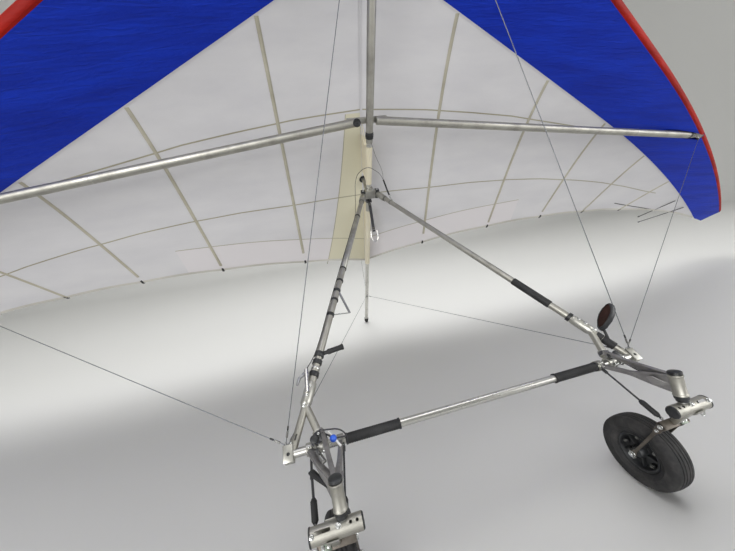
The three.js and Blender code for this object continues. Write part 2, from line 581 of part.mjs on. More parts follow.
// Mirror on the left outer leg and release lever on the right one
const mirror = { foot: vec(730, 1800, -1645), halfLength: 77, depth: 14 };
const mirrorLong = vec(0.666, -0.413, 0.621).normalize();
const mirrorFacing = vec(-0.8, -0.55, 0.24).projectOnPlane(mirrorLong).normalize();
const mirrorAt = mirror.foot.clone().addScaledVector(mirrorLong, mirror.halfLength);

function mirrorShell() {
  const half = [[0, -77], [20, -58], [34, -22], [38, 14], [30, 46], [14, 70], [0, 77]];
  const outline = [...half, ...half.slice(1, -1).reverse().map(([x, y]) => [-x, y])];
  const place = new THREE.Matrix4().makeBasis(mirrorLong.clone().cross(mirrorFacing), mirrorLong, mirrorFacing)
    .setPosition(mirrorAt);
  const shell = new THREE.ExtrudeGeometry(new THREE.Shape(outline.map(([x, y]) => new THREE.Vector2(x, y))),
    { depth: mirror.depth, bevelEnabled: false, steps: 1 }).translate(0, 0, -mirror.depth).applyMatrix4(place);
  const back = mirrorAt.clone().addScaledVector(mirrorLong, -55).addScaledVector(mirrorFacing, -mirror.depth / 2);
  const stem = rod(back, lineAt(0.952).add(vec(14, 0, 8)), 6, 10);
  const band = rod(lineAt(0.94), lineAt(0.968), frame.legRadius + 5, 16);
  return cut(join(shell, stem, band), rod(lineAt(0.9), lineAt(1), frame.legRadius + seat, 16));
}

function releaseLever() {
  const side = vec(-34, -16, 0);
  const tube = rod(vec(-668, 1786, -1500), vec(-671, 1769, -1606), 9, 12);
  const band = rod(lineAt(0.84, -1), lineAt(0.852, -1), frame.tubeRadius + 5, 16);
  const bridge = rod(lineAt(0.846, -1), lineAt(0.846, -1).add(side), 9, 10);
  const pivot = lineAt(0.838, -1).add(side);
  const grip = taper(pivot, pivot.clone().add(vec(-46, -14, -52)), [7, 4], [5, 3], vec(0, 1, 0));
  return cut(join(tube, band, bridge, grip),
    rod(lineAt(0.7, -1), lineAt(frame.tubeTo, -1), frame.tubeRadius + seat, 20));
}
add('mirror_shell', mirrorShell(), 'blackPlastic');
add('release_lever', releaseLever(), 'aluminium');

// Stays
const stay = (name, from, to) => add(name, rod(from, to, wire.radius, wire.sides), 'steel');
const slack = wire.radius + seat;
const under = nosePlate.lower + nosePlate.thickness + slack;
const over = nosePlate.upper + nosePlate.thickness + slack;
for (const [name, s] of sides) {
  const cornerTop = vec(s * 766, barY, corner.top + slack);
  stay(`front_wire_lower_${name}`, vec(s * 18, wire.noseY, -under), cornerTop.clone().add(vec(0, -14, 0)));
  stay(`side_wire_lower_${name}`, mirrored(tangAt.clone().add(vec(0, 0, -62 - slack)), s), cornerTop);
  stay(`rear_wire_lower_${name}`, cornerTop.clone().add(vec(0, 14, 0)),
    vec(s * 10, wire.tailY, -keel.radius - slack));
  stay(`side_wire_upper_${name}`, upperReach(s), kingTop.clone().add(vec(s * 17, 0, -20)));
}
stay('front_wire_upper', along(wire.noseY, over), kingTop.clone().add(vec(0, -18, -20)));
stay('rear_wire_upper', kingTop.clone().add(vec(0, 18, -20)), along(wire.tailY, keel.radius + slack));

glider.rotation.x = -pitch;
glider.updateMatrixWorld(true);

// The glider stands on the floor at z = 0 with its box centred over the origin
const parked = new THREE.Group();
parked.add(glider);
const bounds = new THREE.Box3().setFromObject(parked, true);
const centre = bounds.getCenter(vec(0, 0, 0));
glider.position.set(-centre.x, -centre.y, -bounds.min.z);

export default parked;
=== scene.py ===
import json
import math
from functools import partial

import bpy
from mathutils import Matrix, Quaternion, Vector


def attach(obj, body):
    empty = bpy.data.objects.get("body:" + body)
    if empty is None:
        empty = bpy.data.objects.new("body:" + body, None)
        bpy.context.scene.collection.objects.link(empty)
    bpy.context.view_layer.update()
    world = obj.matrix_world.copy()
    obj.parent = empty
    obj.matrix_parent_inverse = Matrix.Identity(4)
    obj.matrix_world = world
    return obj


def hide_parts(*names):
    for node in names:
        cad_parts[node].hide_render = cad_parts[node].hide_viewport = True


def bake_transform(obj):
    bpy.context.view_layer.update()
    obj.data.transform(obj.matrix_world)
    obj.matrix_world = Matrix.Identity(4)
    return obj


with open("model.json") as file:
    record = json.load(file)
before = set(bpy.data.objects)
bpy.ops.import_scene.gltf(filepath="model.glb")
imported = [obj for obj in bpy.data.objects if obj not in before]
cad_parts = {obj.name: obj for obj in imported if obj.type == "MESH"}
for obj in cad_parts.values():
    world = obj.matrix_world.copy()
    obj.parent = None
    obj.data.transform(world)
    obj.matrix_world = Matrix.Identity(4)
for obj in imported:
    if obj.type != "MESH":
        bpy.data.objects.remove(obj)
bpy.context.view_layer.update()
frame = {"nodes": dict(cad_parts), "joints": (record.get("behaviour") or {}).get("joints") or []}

# Camera first: wide lens, at the place the photograph was taken from
cameraSetup = dict(
    place=(-0.5428, -2.186, 1.1802),  # metres
    heading=10.09,  # degrees from +Y towards +X
    tilt=-7.91,  # degrees above the horizon
    roll=-9.10,
    lens=13.25,  # mm on a sensor 36 mm wide
)


def makeCamera():
    heading, tilt, roll = (math.radians(cameraSetup[k]) for k in ("heading", "tilt", "roll"))
    forward = Vector((math.cos(tilt) * math.sin(heading), math.cos(tilt) * math.cos(heading), math.sin(tilt)))
    level = Vector((math.cos(heading), -math.sin(heading), 0))
    right = Quaternion(forward, -roll) @ level
    up = right.cross(forward)
    camera = bpy.data.objects.new("photoCamera", bpy.data.cameras.new("photoCamera"))
    camera.data.sensor_width = 36
    camera.data.lens = cameraSetup["lens"]
    camera.data.clip_start = 0.02
    turn = Matrix((right, up, -forward)).transposed()
    camera.matrix_world = Matrix.Translation(cameraSetup["place"]) @ turn.to_4x4()
    bpy.context.scene.collection.objects.link(camera)
    bpy.context.scene.camera = camera


makeCamera()
print("camera placed")


def vec(x, y, z):
    return Vector((x, y, z))


# The glider is modelled in its flying frame, in mm: x to its left, y aft along the keel, z up.
# Two joints whose places are known in both frames give the pitch of the parked glider.
joints = {joint["name"]: joint for joint in frame["joints"]}
head = dict(
    place=vec(600, 1595.1, -1958.7), rake=35.9, half=36, radius=18.5, stem=13, tubeDrop=81,
)
wheelCentre = vec(632, 1955, -2109)


def findParkedPlace():
    caster, wheel = (Vector(joints[name]["pos_m"]) for name in ("caster_swivel_left", "wheel_spin_left"))
    flown = wheelCentre - head["place"]
    pitch = math.atan2(flown.z, flown.y) - math.atan2(wheel.z - caster.z, wheel.y - caster.y)
    turn = Matrix.Rotation(-pitch, 4, "X")
    return Matrix.Translation(wheel - turn @ (wheelCentre / 1000)) @ turn


parkedPlace = findParkedPlace()


# Materials
def toLinear(hexColour):
    # From an sRGB hex value to linear light
    parts = [int(hexColour[i:i + 2], 16) / 255 for i in (1, 3, 5)]
    return tuple(c / 12.92 if c <= 0.04045 else ((c + 0.055) / 1.055) ** 2.4 for c in parts) + (1.0,)


def addNode(material, kind, settings=None, links=None):
    # Settings in small letters belong to the node, the others to its sockets. Stops fill a colour ramp.
    # A link comes from a socket or from a node's first output.
    node = material.node_tree.nodes.new("ShaderNode" + kind)
    for key, value in (settings or {}).items():
        if key == "stops":
            while len(node.color_ramp.elements) < len(value):
                node.color_ramp.elements.new(0.5)
            for element, (position, colour) in zip(node.color_ramp.elements, value):
                element.position = position
                element.color = toLinear(colour)
        elif isinstance(key, str) and key[0].islower():
            setattr(node, key, value)
        else:
            node.inputs[key].default_value = value
    for key, source in (links or {}).items():
        output = source if isinstance(source, bpy.types.NodeSocket) else source.outputs[0]
        material.node_tree.links.new(output, node.inputs[key])
    return node


def newMaterial(name, **settings):
    material = bpy.data.materials.new(name)
    material.use_nodes = True
    shader = material.node_tree.nodes["Principled BSDF"]
    for key, value in settings.items():
        shader.inputs[key.replace("_", " ")].default_value = value
    return material, shader, partial(addNode, material)


def connect(material, shader, **sources):
    for key, source in sources.items():
        material.node_tree.links.new(source.outputs[0], shader.inputs[key.replace("_", " ")])
    return material


# Reinforcement cloth on each half of the sail, in metres on the cloth. The half width of the middle strip
# follows from y, and the front of the hem's patch from x, by the terms of a curve.
patches = {"half": (0.0858, -0.0673, 0.0692), "from": 1.39, "front": (2.547, -0.2508, 0.0631), "to": 1.72}


def patchMasks(node, uv):
    # 1 inside the curves of the reinforcement's seams: the middle strip, then the hem's patch
    x, y = node("SeparateXYZ", links={0: uv}).outputs[:2]
    curves = (
        (y, x, "half", "LESS_THAN", "GREATER_THAN", "from"),
        (x, y, "front", "GREATER_THAN", "LESS_THAN", "to"),
    )
    masks = []
    for along, across, curve, test, end, limit in curves:
        level, tilt, bend = patches[curve]
        slope = node("Math", {"operation": "MULTIPLY_ADD", 1: bend, 2: tilt}, {0: along})
        border = node("Math", {"operation": "MULTIPLY_ADD", 2: level}, {0: along, 1: slope})
        inside = node("Math", {"operation": test}, {0: across, 1: border})
        reached = node("Math", {"operation": end, 1: patches[limit]}, {0: along})
        both = node("Math", {"operation": "MULTIPLY"}, {0: inside, 1: reached})
        masks.append(both)
    return masks


def sailcloth(name, colour, shade, through, crease=0.22, sheen=0.12, pull=(1.3, 4.0, 1), hem=None,
              middle=None):
    # Woven polyester, calendered and coated: a low sheen, faint creases and weave, light shines through it.
    # Threads are really 0.3 mm apart and are drawn about 8 mm apart, so that they show.
    material, shader, node = newMaterial(name, Roughness=0.62 - sheen, Sheen_Weight=sheen,
                                         Specular_IOR_Level=0.2 + 2 * sheen)
    uv = node("UVMap", {"uv_map": "cloth"})
    stretched = node("Mapping", {"Scale": pull}, {0: uv})
    broad = node("TexNoise", {"Scale": 1.3, "Detail": 6, "Roughness": 0.58}, {0: stretched})
    tint = node("ValToRGB", {"stops": ((0.34, shade), (0.62, colour))}, {0: broad})
    if hem:
        inMiddle, inHem = patchMasks(node, uv)
        tint = node("MixRGB", {2: toLinear(hem)}, {0: inHem, 1: tint})
        if middle:  # on the underside only
            normal = node("NewGeometry").outputs["True Normal"]
            height = node("SeparateXYZ", links={0: normal}).outputs[2]
            below = node("Math", {"operation": "LESS_THAN", 1: 0.0}, {0: height})
            under = node("Math", {"operation": "MULTIPLY"}, {0: inMiddle, 1: below})
            tint = node("MixRGB", {2: toLinear(middle)}, {0: under, 1: tint})
    warp = node("TexWave", {"Scale": 38, "Distortion": 0.5, "Detail": 1}, {0: uv})
    weft = node("TexWave", {"bands_direction": "Y", "Scale": 38, "Distortion": 0.5}, {0: uv})
    threads = node("Math", {"operation": "MULTIPLY"}, {0: warp.outputs[1], 1: weft.outputs[1]})
    fine = node("Bump", {"Strength": 0.08, "Distance": 0.0006}, {"Height": threads})
    wrinkle = node("TexNoise", {"Scale": 5, "Detail": 4, "Distortion": 1.1}, {0: stretched})
    bump = node("Bump", {"Strength": crease, "Distance": 0.008}, {"Height": wrinkle, "Normal": fine})
    connect(material, shader, Base_Color=tint, Normal=bump)
    glow = node("BsdfTranslucent", links={"Color": tint, "Normal": bump})
    both = node("MixShader", {0: through}, {1: shader, 2: glow})
    material.node_tree.links.new(both.outputs[0], material.node_tree.nodes["Material Output"].inputs[0])
    return material


def metal(name, colour, dark, roughness, grain=500):
    # Machined or plated metal with handling marks: bright, a little uneven, duller where it is rubbed.
    # Grain is the number of pits in a metre.
    material, shader, node = newMaterial(name, Metallic=1.0)
    where = node("TexCoord").outputs["Object"]
    smudge = node("TexNoise", {"Scale": 11, "Detail": 7, "Roughness": 0.62}, {0: where})
    tint = node("ValToRGB", {"stops": ((0.36, dark), (0.6, colour))}, {0: smudge})
    pits = node("TexNoise", {"Scale": grain, "Detail": 3}, {0: where})
    rough = node("MapRange", {"From Min": 0.3, "From Max": 0.7, "To Min": roughness + 0.12,
                              "To Max": roughness - 0.06}, {0: smudge})
    bump = node("Bump", {"Strength": 0.12, "Distance": 0.0004}, {"Height": pits})
    return connect(material, shader, Base_Color=tint, Roughness=rough, Normal=bump)


def drawnTube(name, colour, dark, roughness):
    # Aluminium tube drawn through a die and anodised: long fine marks along it, scuffed in patches
    material, shader, node = newMaterial(name, Metallic=1.0)
    uv = node("UVMap", {"uv_map": "tube"})
    stretched = node("Mapping", {"Scale": (700, 7, 1)}, {0: uv})
    marks = node("TexNoise", {"Scale": 1, "Detail": 4, "Roughness": 0.6}, {0: stretched})
    where = node("TexCoord").outputs["Object"]
    scuff = node("TexNoise", {"Scale": 6, "Detail": 8, "Roughness": 0.66}, {0: where})
    mixed = node("Math", {"operation": "MULTIPLY_ADD", 1: 0.4}, {0: marks, 2: scuff})
    tint = node("ValToRGB", {"stops": ((0.5, dark), (0.76, colour))}, {0: mixed})
    rough = node("MapRange", {"From Min": 0.45, "From Max": 0.9, "To Min": roughness + 0.14,
                              "To Max": roughness - 0.06}, {0: mixed})
    bump = node("Bump", {"Strength": 0.14, "Distance": 0.0003}, {"Height": marks})
    return connect(material, shader, Base_Color=tint, Roughness=rough, Normal=bump)


def moulded(name, colour, light, roughness, grain=900, strength=0.25):
    # Moulded nylon or rubber with a spark-eroded texture: matt, greyer where it is worn
    material, shader, node = newMaterial(name)
    where = node("TexCoord").outputs["Object"]
    wear = node("TexNoise", {"Scale": 17, "Detail": 7, "Roughness": 0.68}, {0: where})
    tint = node("ValToRGB", {"stops": ((0.44, colour), (0.74, light))}, {0: wear})
    texture = node("TexNoise", {"Scale": grain, "Detail": 2}, {0: where})
    rough = node("MapRange", {"To Min": roughness - 0.12, "To Max": roughness + 0.12}, {0: wear})
    bump = node("Bump", {"Strength": strength, "Distance": 0.0005}, {"Height": texture})
    return connect(material, shader, Base_Color=tint, Roughness=rough, Normal=bump)


def woven(name, colour, light, spacing):
    # Nylon webbing and braided cord sheath: a tight weave with a dull sheen. Spacing is in metres.
    material, shader, node = newMaterial(name, Roughness=0.75, Sheen_Weight=0.3)
    where = node("TexCoord").outputs["Object"]
    cells = node("TexVoronoi", {"Scale": 1 / spacing}, {0: where})
    # Light on the raised middle of each weave cell is a painted highlight, dark at its edges painted shade
    tint = node("ValToRGB", {"stops": ((0.1, light), (0.75, colour))}, {0: cells})
    bump = node("Bump", {"Strength": 0.6, "Distance": 0.0005, "invert": True}, {"Height": cells})
    return connect(material, shader, Base_Color=tint, Normal=bump)


def strandedWire(name):
    # Stranded stainless cable: strands wind round it with a painted highlight on each and painted shade
    # between them, drawn coarser than real so that they show
    material, shader, node = newMaterial(name, Metallic=1.0, Roughness=0.36)
    uv = node("UVMap", {"uv_map": "tube"})
    turned = node("Mapping", {"Rotation": (0, 0, 0.7)}, {0: uv})
    lay = node("TexWave", {"Scale": 160}, {0: turned})
    tint = node("ValToRGB", {"stops": ((0.1, "#3E4145"), (0.7, "#8C8F93"))}, {0: lay.outputs[1]})
    bump = node("Bump", {"Strength": 0.5, "Distance": 0.0005}, {"Height": lay.outputs[1]})
    return connect(material, shader, Base_Color=tint, Normal=bump)


finish = {
    "white": sailcloth("coatedPolyesterWhite", "#D6D5D6", "#CFCED0", 0.34, 0.14),
    "whiteLeft": sailcloth("coatedPolyesterPanelLeft", "#D6D5D6", "#CFCED0", 0.34, 0.16, hem="#DAD7D8"),
    "whiteRight": sailcloth("coatedPolyesterPanelRight", "#D6D5D6", "#CFCED0", 0.34, 0.16, hem="#DAD7D8",
                            middle="#D4D0BB"),
    "blue": sailcloth("coatedPolyesterBlue", "#0E38C6", "#0A2CAC", 0.22, 1.0, 0.02, (1.4, 9.0, 1)),
    "orange": sailcloth("coatedPolyesterOrangeRed", "#9C1404", "#7E0B02", 0.06, 0.4, 0.0),
    "cream": sailcloth("reinforcementClothCream", "#F0EBDA", "#E8E1C9", 0.42),
    # Seam tape and stitches: partly their own grey, partly painted shade of the doubled cloth
    "tape": sailcloth("seamTapeGreyWithPaintedShade", "#A8A48F", "#96917C", 0.15),
    "hem": sailcloth("hemCloth", "#CFCCC4", "#C0BDB4", 0.3),
    # Batten pockets: partly their own beige, partly painted shade of the batten and doubled cloth
    "pocket": sailcloth("battenPocketClothWithPaintedShade", "#B4AF9E", "#A09B8A", 0.15),
    "tube": drawnTube("anodisedDrawnTube", "#ABA9A1", "#918F88", 0.46),
    "bright": drawnTube("polishedDrawnTube", "#CBCAC5", "#B3B2AD", 0.26),
    "grey": drawnTube("greyDrawnTube", "#98999B", "#7C7E81", 0.42),
    "plate": metal("machinedAluminium", "#B9B8B1", "#9C9B95", 0.4),
    "steel": metal("brushedSteel", "#8F8F8C", "#73736F", 0.42),
    "bolt": metal("zincPlatedSteel", "#DCDDDB", "#AFB1B1", 0.22),
    "gloss": moulded("glossyWhiteGlassFibre", "#ECECEA", "#DADAD6", 0.3, 1200, 0.05),
    "cast": metal("castAluminium", "#A19F9E", "#848283", 0.5),
    "fork": metal("darkForkSteel", "#77716A", "#5A554F", 0.46),
    "olive": metal("anodisedCrownBracket", "#7E857B", "#60675F", 0.42),
    # Mirror glass: its reddish brown tint is a painted reflection
    "glass": metal("mirrorGlassPaintedReflection", "#46302B", "#33231F", 0.12, 60),
    "wire": strandedWire("stainlessStrandedWire"),
    "black": moulded("mouldedBlackNylon", "#141517", "#303234", 0.45),
    "rubber": moulded("mouldedBlackRubber", "#111112", "#29292A", 0.68),
    "tyre": moulded("vulcanisedTyreRubber", "#171718", "#3A3837", 0.78, 420, 0.35),
    "blueBall": moulded("mouldedBlueNylon", "#1D4FC0", "#3A68CE", 0.35),
    "webbing": woven("wovenNylonWebbing", "#131317", "#37373D", 0.0022),
    "cord": woven("braidedElasticCord", "#101013", "#2D2D33", 0.0018),
}
print("materials made")


# Modelling helpers. Places are mm in the flying frame until a piece is finished, and meshes hold metres.
def objectMode(mode="OBJECT"):
    bpy.ops.object.mode_set(mode=mode)


def extrude(offset):
    bpy.ops.mesh.extrude_region_move(TRANSFORM_OT_translate={"value": offset})


def deselectAll():
    if bpy.context.object and bpy.context.object.mode != "OBJECT":
        objectMode()
    bpy.ops.object.select_all(action="DESELECT")


def pick(*pieces):
    deselectAll()
    for piece in pieces:
        piece.select_set(True)
    bpy.context.view_layer.objects.active = pieces[0]


def editAll(piece):
    pick(piece)
    objectMode("EDIT")
    bpy.ops.mesh.select_all(action="SELECT")


def applied(piece):
    pick(piece)
    bpy.ops.object.transform_apply(location=True, rotation=True, scale=True)
    return piece


def merged(piece, threshold=0.00001):
    # Doubles merged, stray edges gone, faces turned outwards
    editAll(piece)
    bpy.ops.mesh.remove_doubles(threshold=threshold)
    bpy.ops.mesh.delete_loose(use_verts=True, use_edges=True, use_faces=False)
    bpy.ops.mesh.select_all(action="SELECT")
    bpy.ops.mesh.normals_make_consistent(inside=False)
    objectMode()
    return piece


def modified(piece, kind, **settings):
    pick(piece)
    change = piece.modifiers.new(kind.lower(), kind)
    for key, value in settings.items():
        setattr(change, key, value)
    bpy.ops.object.modifier_apply(modifier=change.name)
    return piece


def bevelled(piece, width, segments=2, angle=32):
    return modified(piece, "BEVEL", width=width / 1000, segments=segments, limit_method="ANGLE",
                    angle_limit=math.radians(angle))


def painted(piece, material):
    piece.data.materials.clear()
    piece.data.materials.append(finish[material])
    return piece


def basis(place, zAxis, xAxis=None):
    # Matrix that stands a local shape on a place, its z along zAxis
    z = Vector(zAxis).normalized()
    x = Vector(xAxis) if xAxis is not None else z.orthogonal()
    x = (x - z * x.dot(z)).normalized()
    return Matrix.Translation(Vector(place) / 1000) @ Matrix((x, z.cross(x), z)).transposed().to_4x4()


def mapAround(piece, start, axis):
    # Map in metres: around the piece and along its axis
    start, axis = Vector(start) / 1000, Vector(axis).normalized()
    side = axis.orthogonal().normalized()
    other = axis.cross(side)
    mesh = piece.data
    layer = mesh.uv_layers[0] if mesh.uv_layers else mesh.uv_layers.new()
    layer.name = "tube"
    for polygon in mesh.polygons:
        first = None
        for loop in polygon.loop_indices:
            offset = mesh.vertices[mesh.loops[loop].vertex_index].co - start
            along = offset.dot(axis)
            flat = offset - axis * along
            turn = math.atan2(flat.dot(other), flat.dot(side))
            first = turn if first is None else first
            turn += 2 * math.pi * round((first - turn) / (2 * math.pi))
            layer.data[loop].uv = (turn * flat.length, along)
    return piece


def softened(profile, size):
    # Corners of a closed outline are cut by size, except on the axis
    cut = []
    for i, corner in enumerate(profile):
        here = Vector(corner)
        back, onward = Vector(profile[i - 1]) - here, Vector(profile[(i + 1) % len(profile)]) - here
        if here.x < 0.01 or back.length * onward.length == 0 or back.angle(onward) > 2.6:
            cut.append(here)
            continue
        for edge in (back, onward):
            cut.append(here + edge.normalized() * min(size, 0.35 * edge.length))
    return cut


def turned(profile, start, end, material, steps=32, soft=0.6):
    # A closed outline of (radius, height), spun about the line from start towards end
    deselectAll()
    outline = softened(profile, soft) if soft else [Vector(p) for p in profile]
    bpy.ops.mesh.primitive_circle_add(vertices=len(outline), radius=1)
    piece = bpy.context.object
    for vertex, (radius, height) in zip(piece.data.vertices, outline):
        vertex.co = vec(radius, 0, height) / 1000
    editAll(piece)
    bpy.ops.mesh.spin(steps=steps, angle=2 * math.pi, center=(0, 0, 0), axis=(0, 0, 1))
    merged(piece)
    axis = Vector(end) - Vector(start)
    piece.matrix_world = basis(start, axis)
    applied(piece)
    mapAround(piece, start, axis)
    return painted(piece, material)


def rod(start, end, radius, material, steps=28, soft=0.6):
    length = (Vector(end) - Vector(start)).length
    return turned([(0, 0), (radius, 0), (radius, length), (0, length)], start, end, material, steps, soft)


def tube(start, end, radius, wall, material, bore=30, steps=40):
    # Open at both ends, as far in as the bore
    length = (Vector(end) - Vector(start)).length
    inner = radius - wall
    outline = [(radius, 0), (radius, length), (inner, length), (inner, length - bore), (0, length - bore),
               (0, bore), (inner, bore), (inner, 0)]
    return turned(outline, start, end, material, steps, 0.4)


def ring(start, end, outer, inner, material, steps=32, soft=0.8):
    length = (Vector(end) - Vector(start)).length
    outline = [(inner, 0), (outer, 0), (outer, length), (inner, length)]
    return turned(outline, start, end, material, steps, soft)


def bead(place, axis, radius, thickness, material, steps=24):
    # A ring of round wire
    turns = [2 * math.pi * i / 8 for i in range(8)]
    outline = [(radius + thickness * math.cos(t), thickness * math.sin(t)) for t in turns]
    return turned(outline, place, Vector(place) + Vector(axis), material, steps, 0)


def block(size, place, material, zAxis=(0, 0, 1), xAxis=(1, 0, 0), soft=1.2):
    deselectAll()
    bpy.ops.mesh.primitive_cube_add(size=1)
    piece = bpy.context.object
    piece.scale = Vector(size) / 1000
    applied(piece)
    bevelled(piece, soft)
    piece.matrix_world = basis(place, zAxis, xAxis)
    return painted(applied(piece), material)


def plate(outline, thickness, place, zAxis, xAxis, material, soft=0.6):
    # An outline of (x, y), cut from plate whose middle lies on the place
    deselectAll()
    bpy.ops.mesh.primitive_circle_add(vertices=len(outline), radius=1, fill_type="NGON")
    piece = bpy.context.object
    for vertex, (x, y) in zip(piece.data.vertices, outline):
        vertex.co = vec(x, y, -thickness / 2) / 1000
    editAll(piece)
    extrude((0, 0, thickness / 1000))
    merged(piece)
    if soft:
        bevelled(piece, soft, 1)
    piece.matrix_world = basis(place, zAxis, xAxis)
    return painted(applied(piece), material)


def arc(x, y, radius, first, last, count=8):
    # Points of an arc, with its angles in degrees
    turns = [math.radians(first + (last - first) * i / count) for i in range(count + 1)]
    return [(x + radius * math.cos(t), y + radius * math.sin(t)) for t in turns]


def sunk(piece, direction, least, rim, depth):
    # Faces that look in a direction are inset by a rim and pushed in
    pick(piece)
    for polygon in piece.data.polygons:
        polygon.select = polygon.normal.dot(direction) > least
    objectMode("EDIT")
    bpy.ops.mesh.select_mode(type="FACE")
    bpy.ops.mesh.inset(thickness=rim / 1000)
    extrude(-direction * depth / 1000)
    bpy.ops.mesh.select_all(action="DESELECT")
    objectMode()


def recessed(piece, rim, depth):
    # The two broad faces are sunk inside a rim
    widest = max(polygon.area for polygon in piece.data.polygons)
    normals = [polygon.normal.copy() for polygon in piece.data.polygons if polygon.area > widest * 0.95]
    for normal in normals[:2]:
        sunk(piece, normal, 0.99, rim, depth)
    return bevelled(piece, 0.8)


def arm(root, tip, rootSize, tipSize, up, material, soft=1.0):
    # A bar that changes from its root's half width and height to its tip's
    root, tip = Vector(root), Vector(tip)
    along = (tip - root).normalized()
    side = along.cross(Vector(up)).normalized()
    rise = side.cross(along)
    deselectAll()
    bpy.ops.mesh.primitive_cube_add(size=2)
    piece = bpy.context.object
    for vertex in piece.data.vertices:
        end, across, high = (round(c) for c in vertex.co)
        place, (width, height) = (tip, tipSize) if end > 0 else (root, rootSize)
        vertex.co = (place + side * across * width + rise * high * height) / 1000
    return painted(bevelled(merged(piece), soft), material)


def bent(points, radius, material, closed=False, fine=5):
    # A round rod or cord that runs smoothly through the points
    deselectAll()
    bpy.ops.curve.primitive_bezier_curve_add()
    line = bpy.context.object
    spline = line.data.splines[0]
    spline.bezier_points.add(len(points) - 2)
    for knot, place in zip(spline.bezier_points, points):
        knot.handle_left_type = knot.handle_right_type = "AUTO"
        knot.co = Vector(place) / 1000
    spline.use_cyclic_u = closed
    line.data.dimensions = "3D"
    line.data.resolution_u = fine
    line.data.bevel_depth = radius / 1000
    line.data.bevel_resolution = 2
    line.data.use_fill_caps = not closed
    bpy.ops.object.convert(target="MESH")
    piece = merged(bpy.context.object)
    mapAround(piece, points[0], Vector(points[-1]) - Vector(points[0]) + vec(0, 0, 0.01))
    return painted(piece, material)


def copied(piece, matrix):
    # Another one of the same shape, moved by the matrix, with its own mesh
    other = piece.copy()
    other.data = piece.data.copy()
    bpy.context.scene.collection.objects.link(other)
    other.matrix_world = matrix @ piece.matrix_world
    return applied(other)


def mirrored(piece):
    return merged(copied(piece, Matrix.Diagonal((-1, 1, 1, 1))))


def joined(*pieces):
    pick(*pieces)
    if len(pieces) > 1:
        bpy.ops.object.join()
    return pieces[0]


def cutOut(piece, *cutters):
    for cutter in cutters:
        modified(piece, "BOOLEAN", operation="DIFFERENCE", object=cutter, solver="EXACT")
        bpy.data.objects.remove(cutter)
    return piece


def makeBolt():
    # Hexagonal head 13 mm across flats on a washer, standing on z = 0
    washer = ring((0, 0, 0), (0, 0, 1.6), 8.6, 3, "bolt", 24, 0.4)
    deselectAll()
    bpy.ops.mesh.primitive_cylinder_add(vertices=6, radius=0.0075, depth=0.0054, location=(0, 0, 0.0042))
    crown = bevelled(applied(bpy.context.object), 0.7, 2)
    thread = rod((0, 0, 2), (0, 0, 8.4), 4, "bolt", 16, 0.8)
    return mapAround(painted(joined(washer, crown, thread), "bolt"), (0, 0, 0), (0, 0, 1))


boltPattern = makeBolt()


def bolt(place, axis, size=1.0, material="bolt"):
    return painted(copied(boltPattern, basis(place, axis) @ Matrix.Scale(size, 4)), material)


def fromFrame(node, material, soft=0.8):
    # A copy of a frame piece with merged corners and softened edges, back in the flying frame
    piece = bpy.data.objects.new(node, frame["nodes"][node].data.copy())
    bpy.context.scene.collection.objects.link(piece)
    editAll(piece)
    bpy.ops.mesh.remove_doubles(threshold=0.00002)
    bpy.ops.mesh.dissolve_limited(angle_limit=math.radians(1.0))
    objectMode()
    if soft:
        bevelled(piece, soft, 2, 40)
    piece.matrix_world = parkedPlace.inverted()
    return painted(applied(piece), material)


def finished(piece, name, body="root", replaces=(), smooth=35):
    # Stands the piece, or the parts joined, where the parked glider has it and lets it ride on its body
    piece = joined(*piece) if isinstance(piece, list) else piece
    piece.name = name
    piece.data.name = name
    piece.matrix_world = parkedPlace
    applied(piece)
    bpy.ops.object.shade_smooth_by_angle(angle=math.radians(smooth))
    if replaces:
        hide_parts(*replaces)
    if body:
        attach(piece, body)
    return piece


def finishedPair(piece, name, body="root", replaces=(), smooth=35):
    # The piece on the glider's left and its mirror image on the right. A star stands for left or right.
    piece = joined(*piece) if isinstance(piece, list) else piece
    pair = {"left": piece, "right": mirrored(piece)}
    for word, one in pair.items():
        finished(one, name + word.capitalize(), body and body.replace("*", word),
                 [node.replace("*", word) for node in replaces], smooth)
    return pair["left"], pair["right"]


# Wing shape in the flying frame, in mm, with the terms of its curves
wing = dict(
    halfSpan=5450, tubeSetback=39, tubeSag=130, tubeSagAt=2900, tubeRadius=25,
    sweep=0.485, bendFrom=2160, bend=30.6e-6,
    rootEnd=2830, trailSlope=-0.245, trailCurve=5.8e-5,
    washoutRoot=1.5, washoutTip=12.5, camber=0.085,
    bandRoot=545, bandTaper=-0.04, panelTip=5080, noseRadius=31, root=3,
    cloth=1.2, stripe=50, lowestNose=41, pocketFrom=95,
)


def leadY(x):
    return wing["sweep"] * x + wing["bend"] * max(0, x - wing["bendFrom"]) ** 2


def tubeY(x):
    return leadY(x) + wing["tubeSetback"]


def tubeZ(x):
    return -wing["tubeSag"] * (1 - ((x - wing["tubeSagAt"]) / wing["tubeSagAt"]) ** 2)


def onTubeLine(x):
    return vec(x, tubeY(x), tubeZ(x))


def trailY(x):
    return wing["rootEnd"] + wing["trailSlope"] * x + wing["trailCurve"] * x * x


def bandY(x):
    return min(leadY(x) + wing["bandRoot"] + wing["bandTaper"] * x, trailY(x))


def topZ(x, y):
    chord = trailY(x) - tubeY(x)
    u = max(0.0, (y - tubeY(x)) / chord)
    washout = wing["washoutRoot"] + (wing["washoutTip"] - wing["washoutRoot"]) * x / wing["halfSpan"]
    arch = wing["camber"] * chord * math.sin(math.pi * min(1.0, u) ** 0.6)
    return tubeZ(x) + u * chord * math.tan(math.radians(washout)) + arch + wing["noseRadius"] * (1 - u)


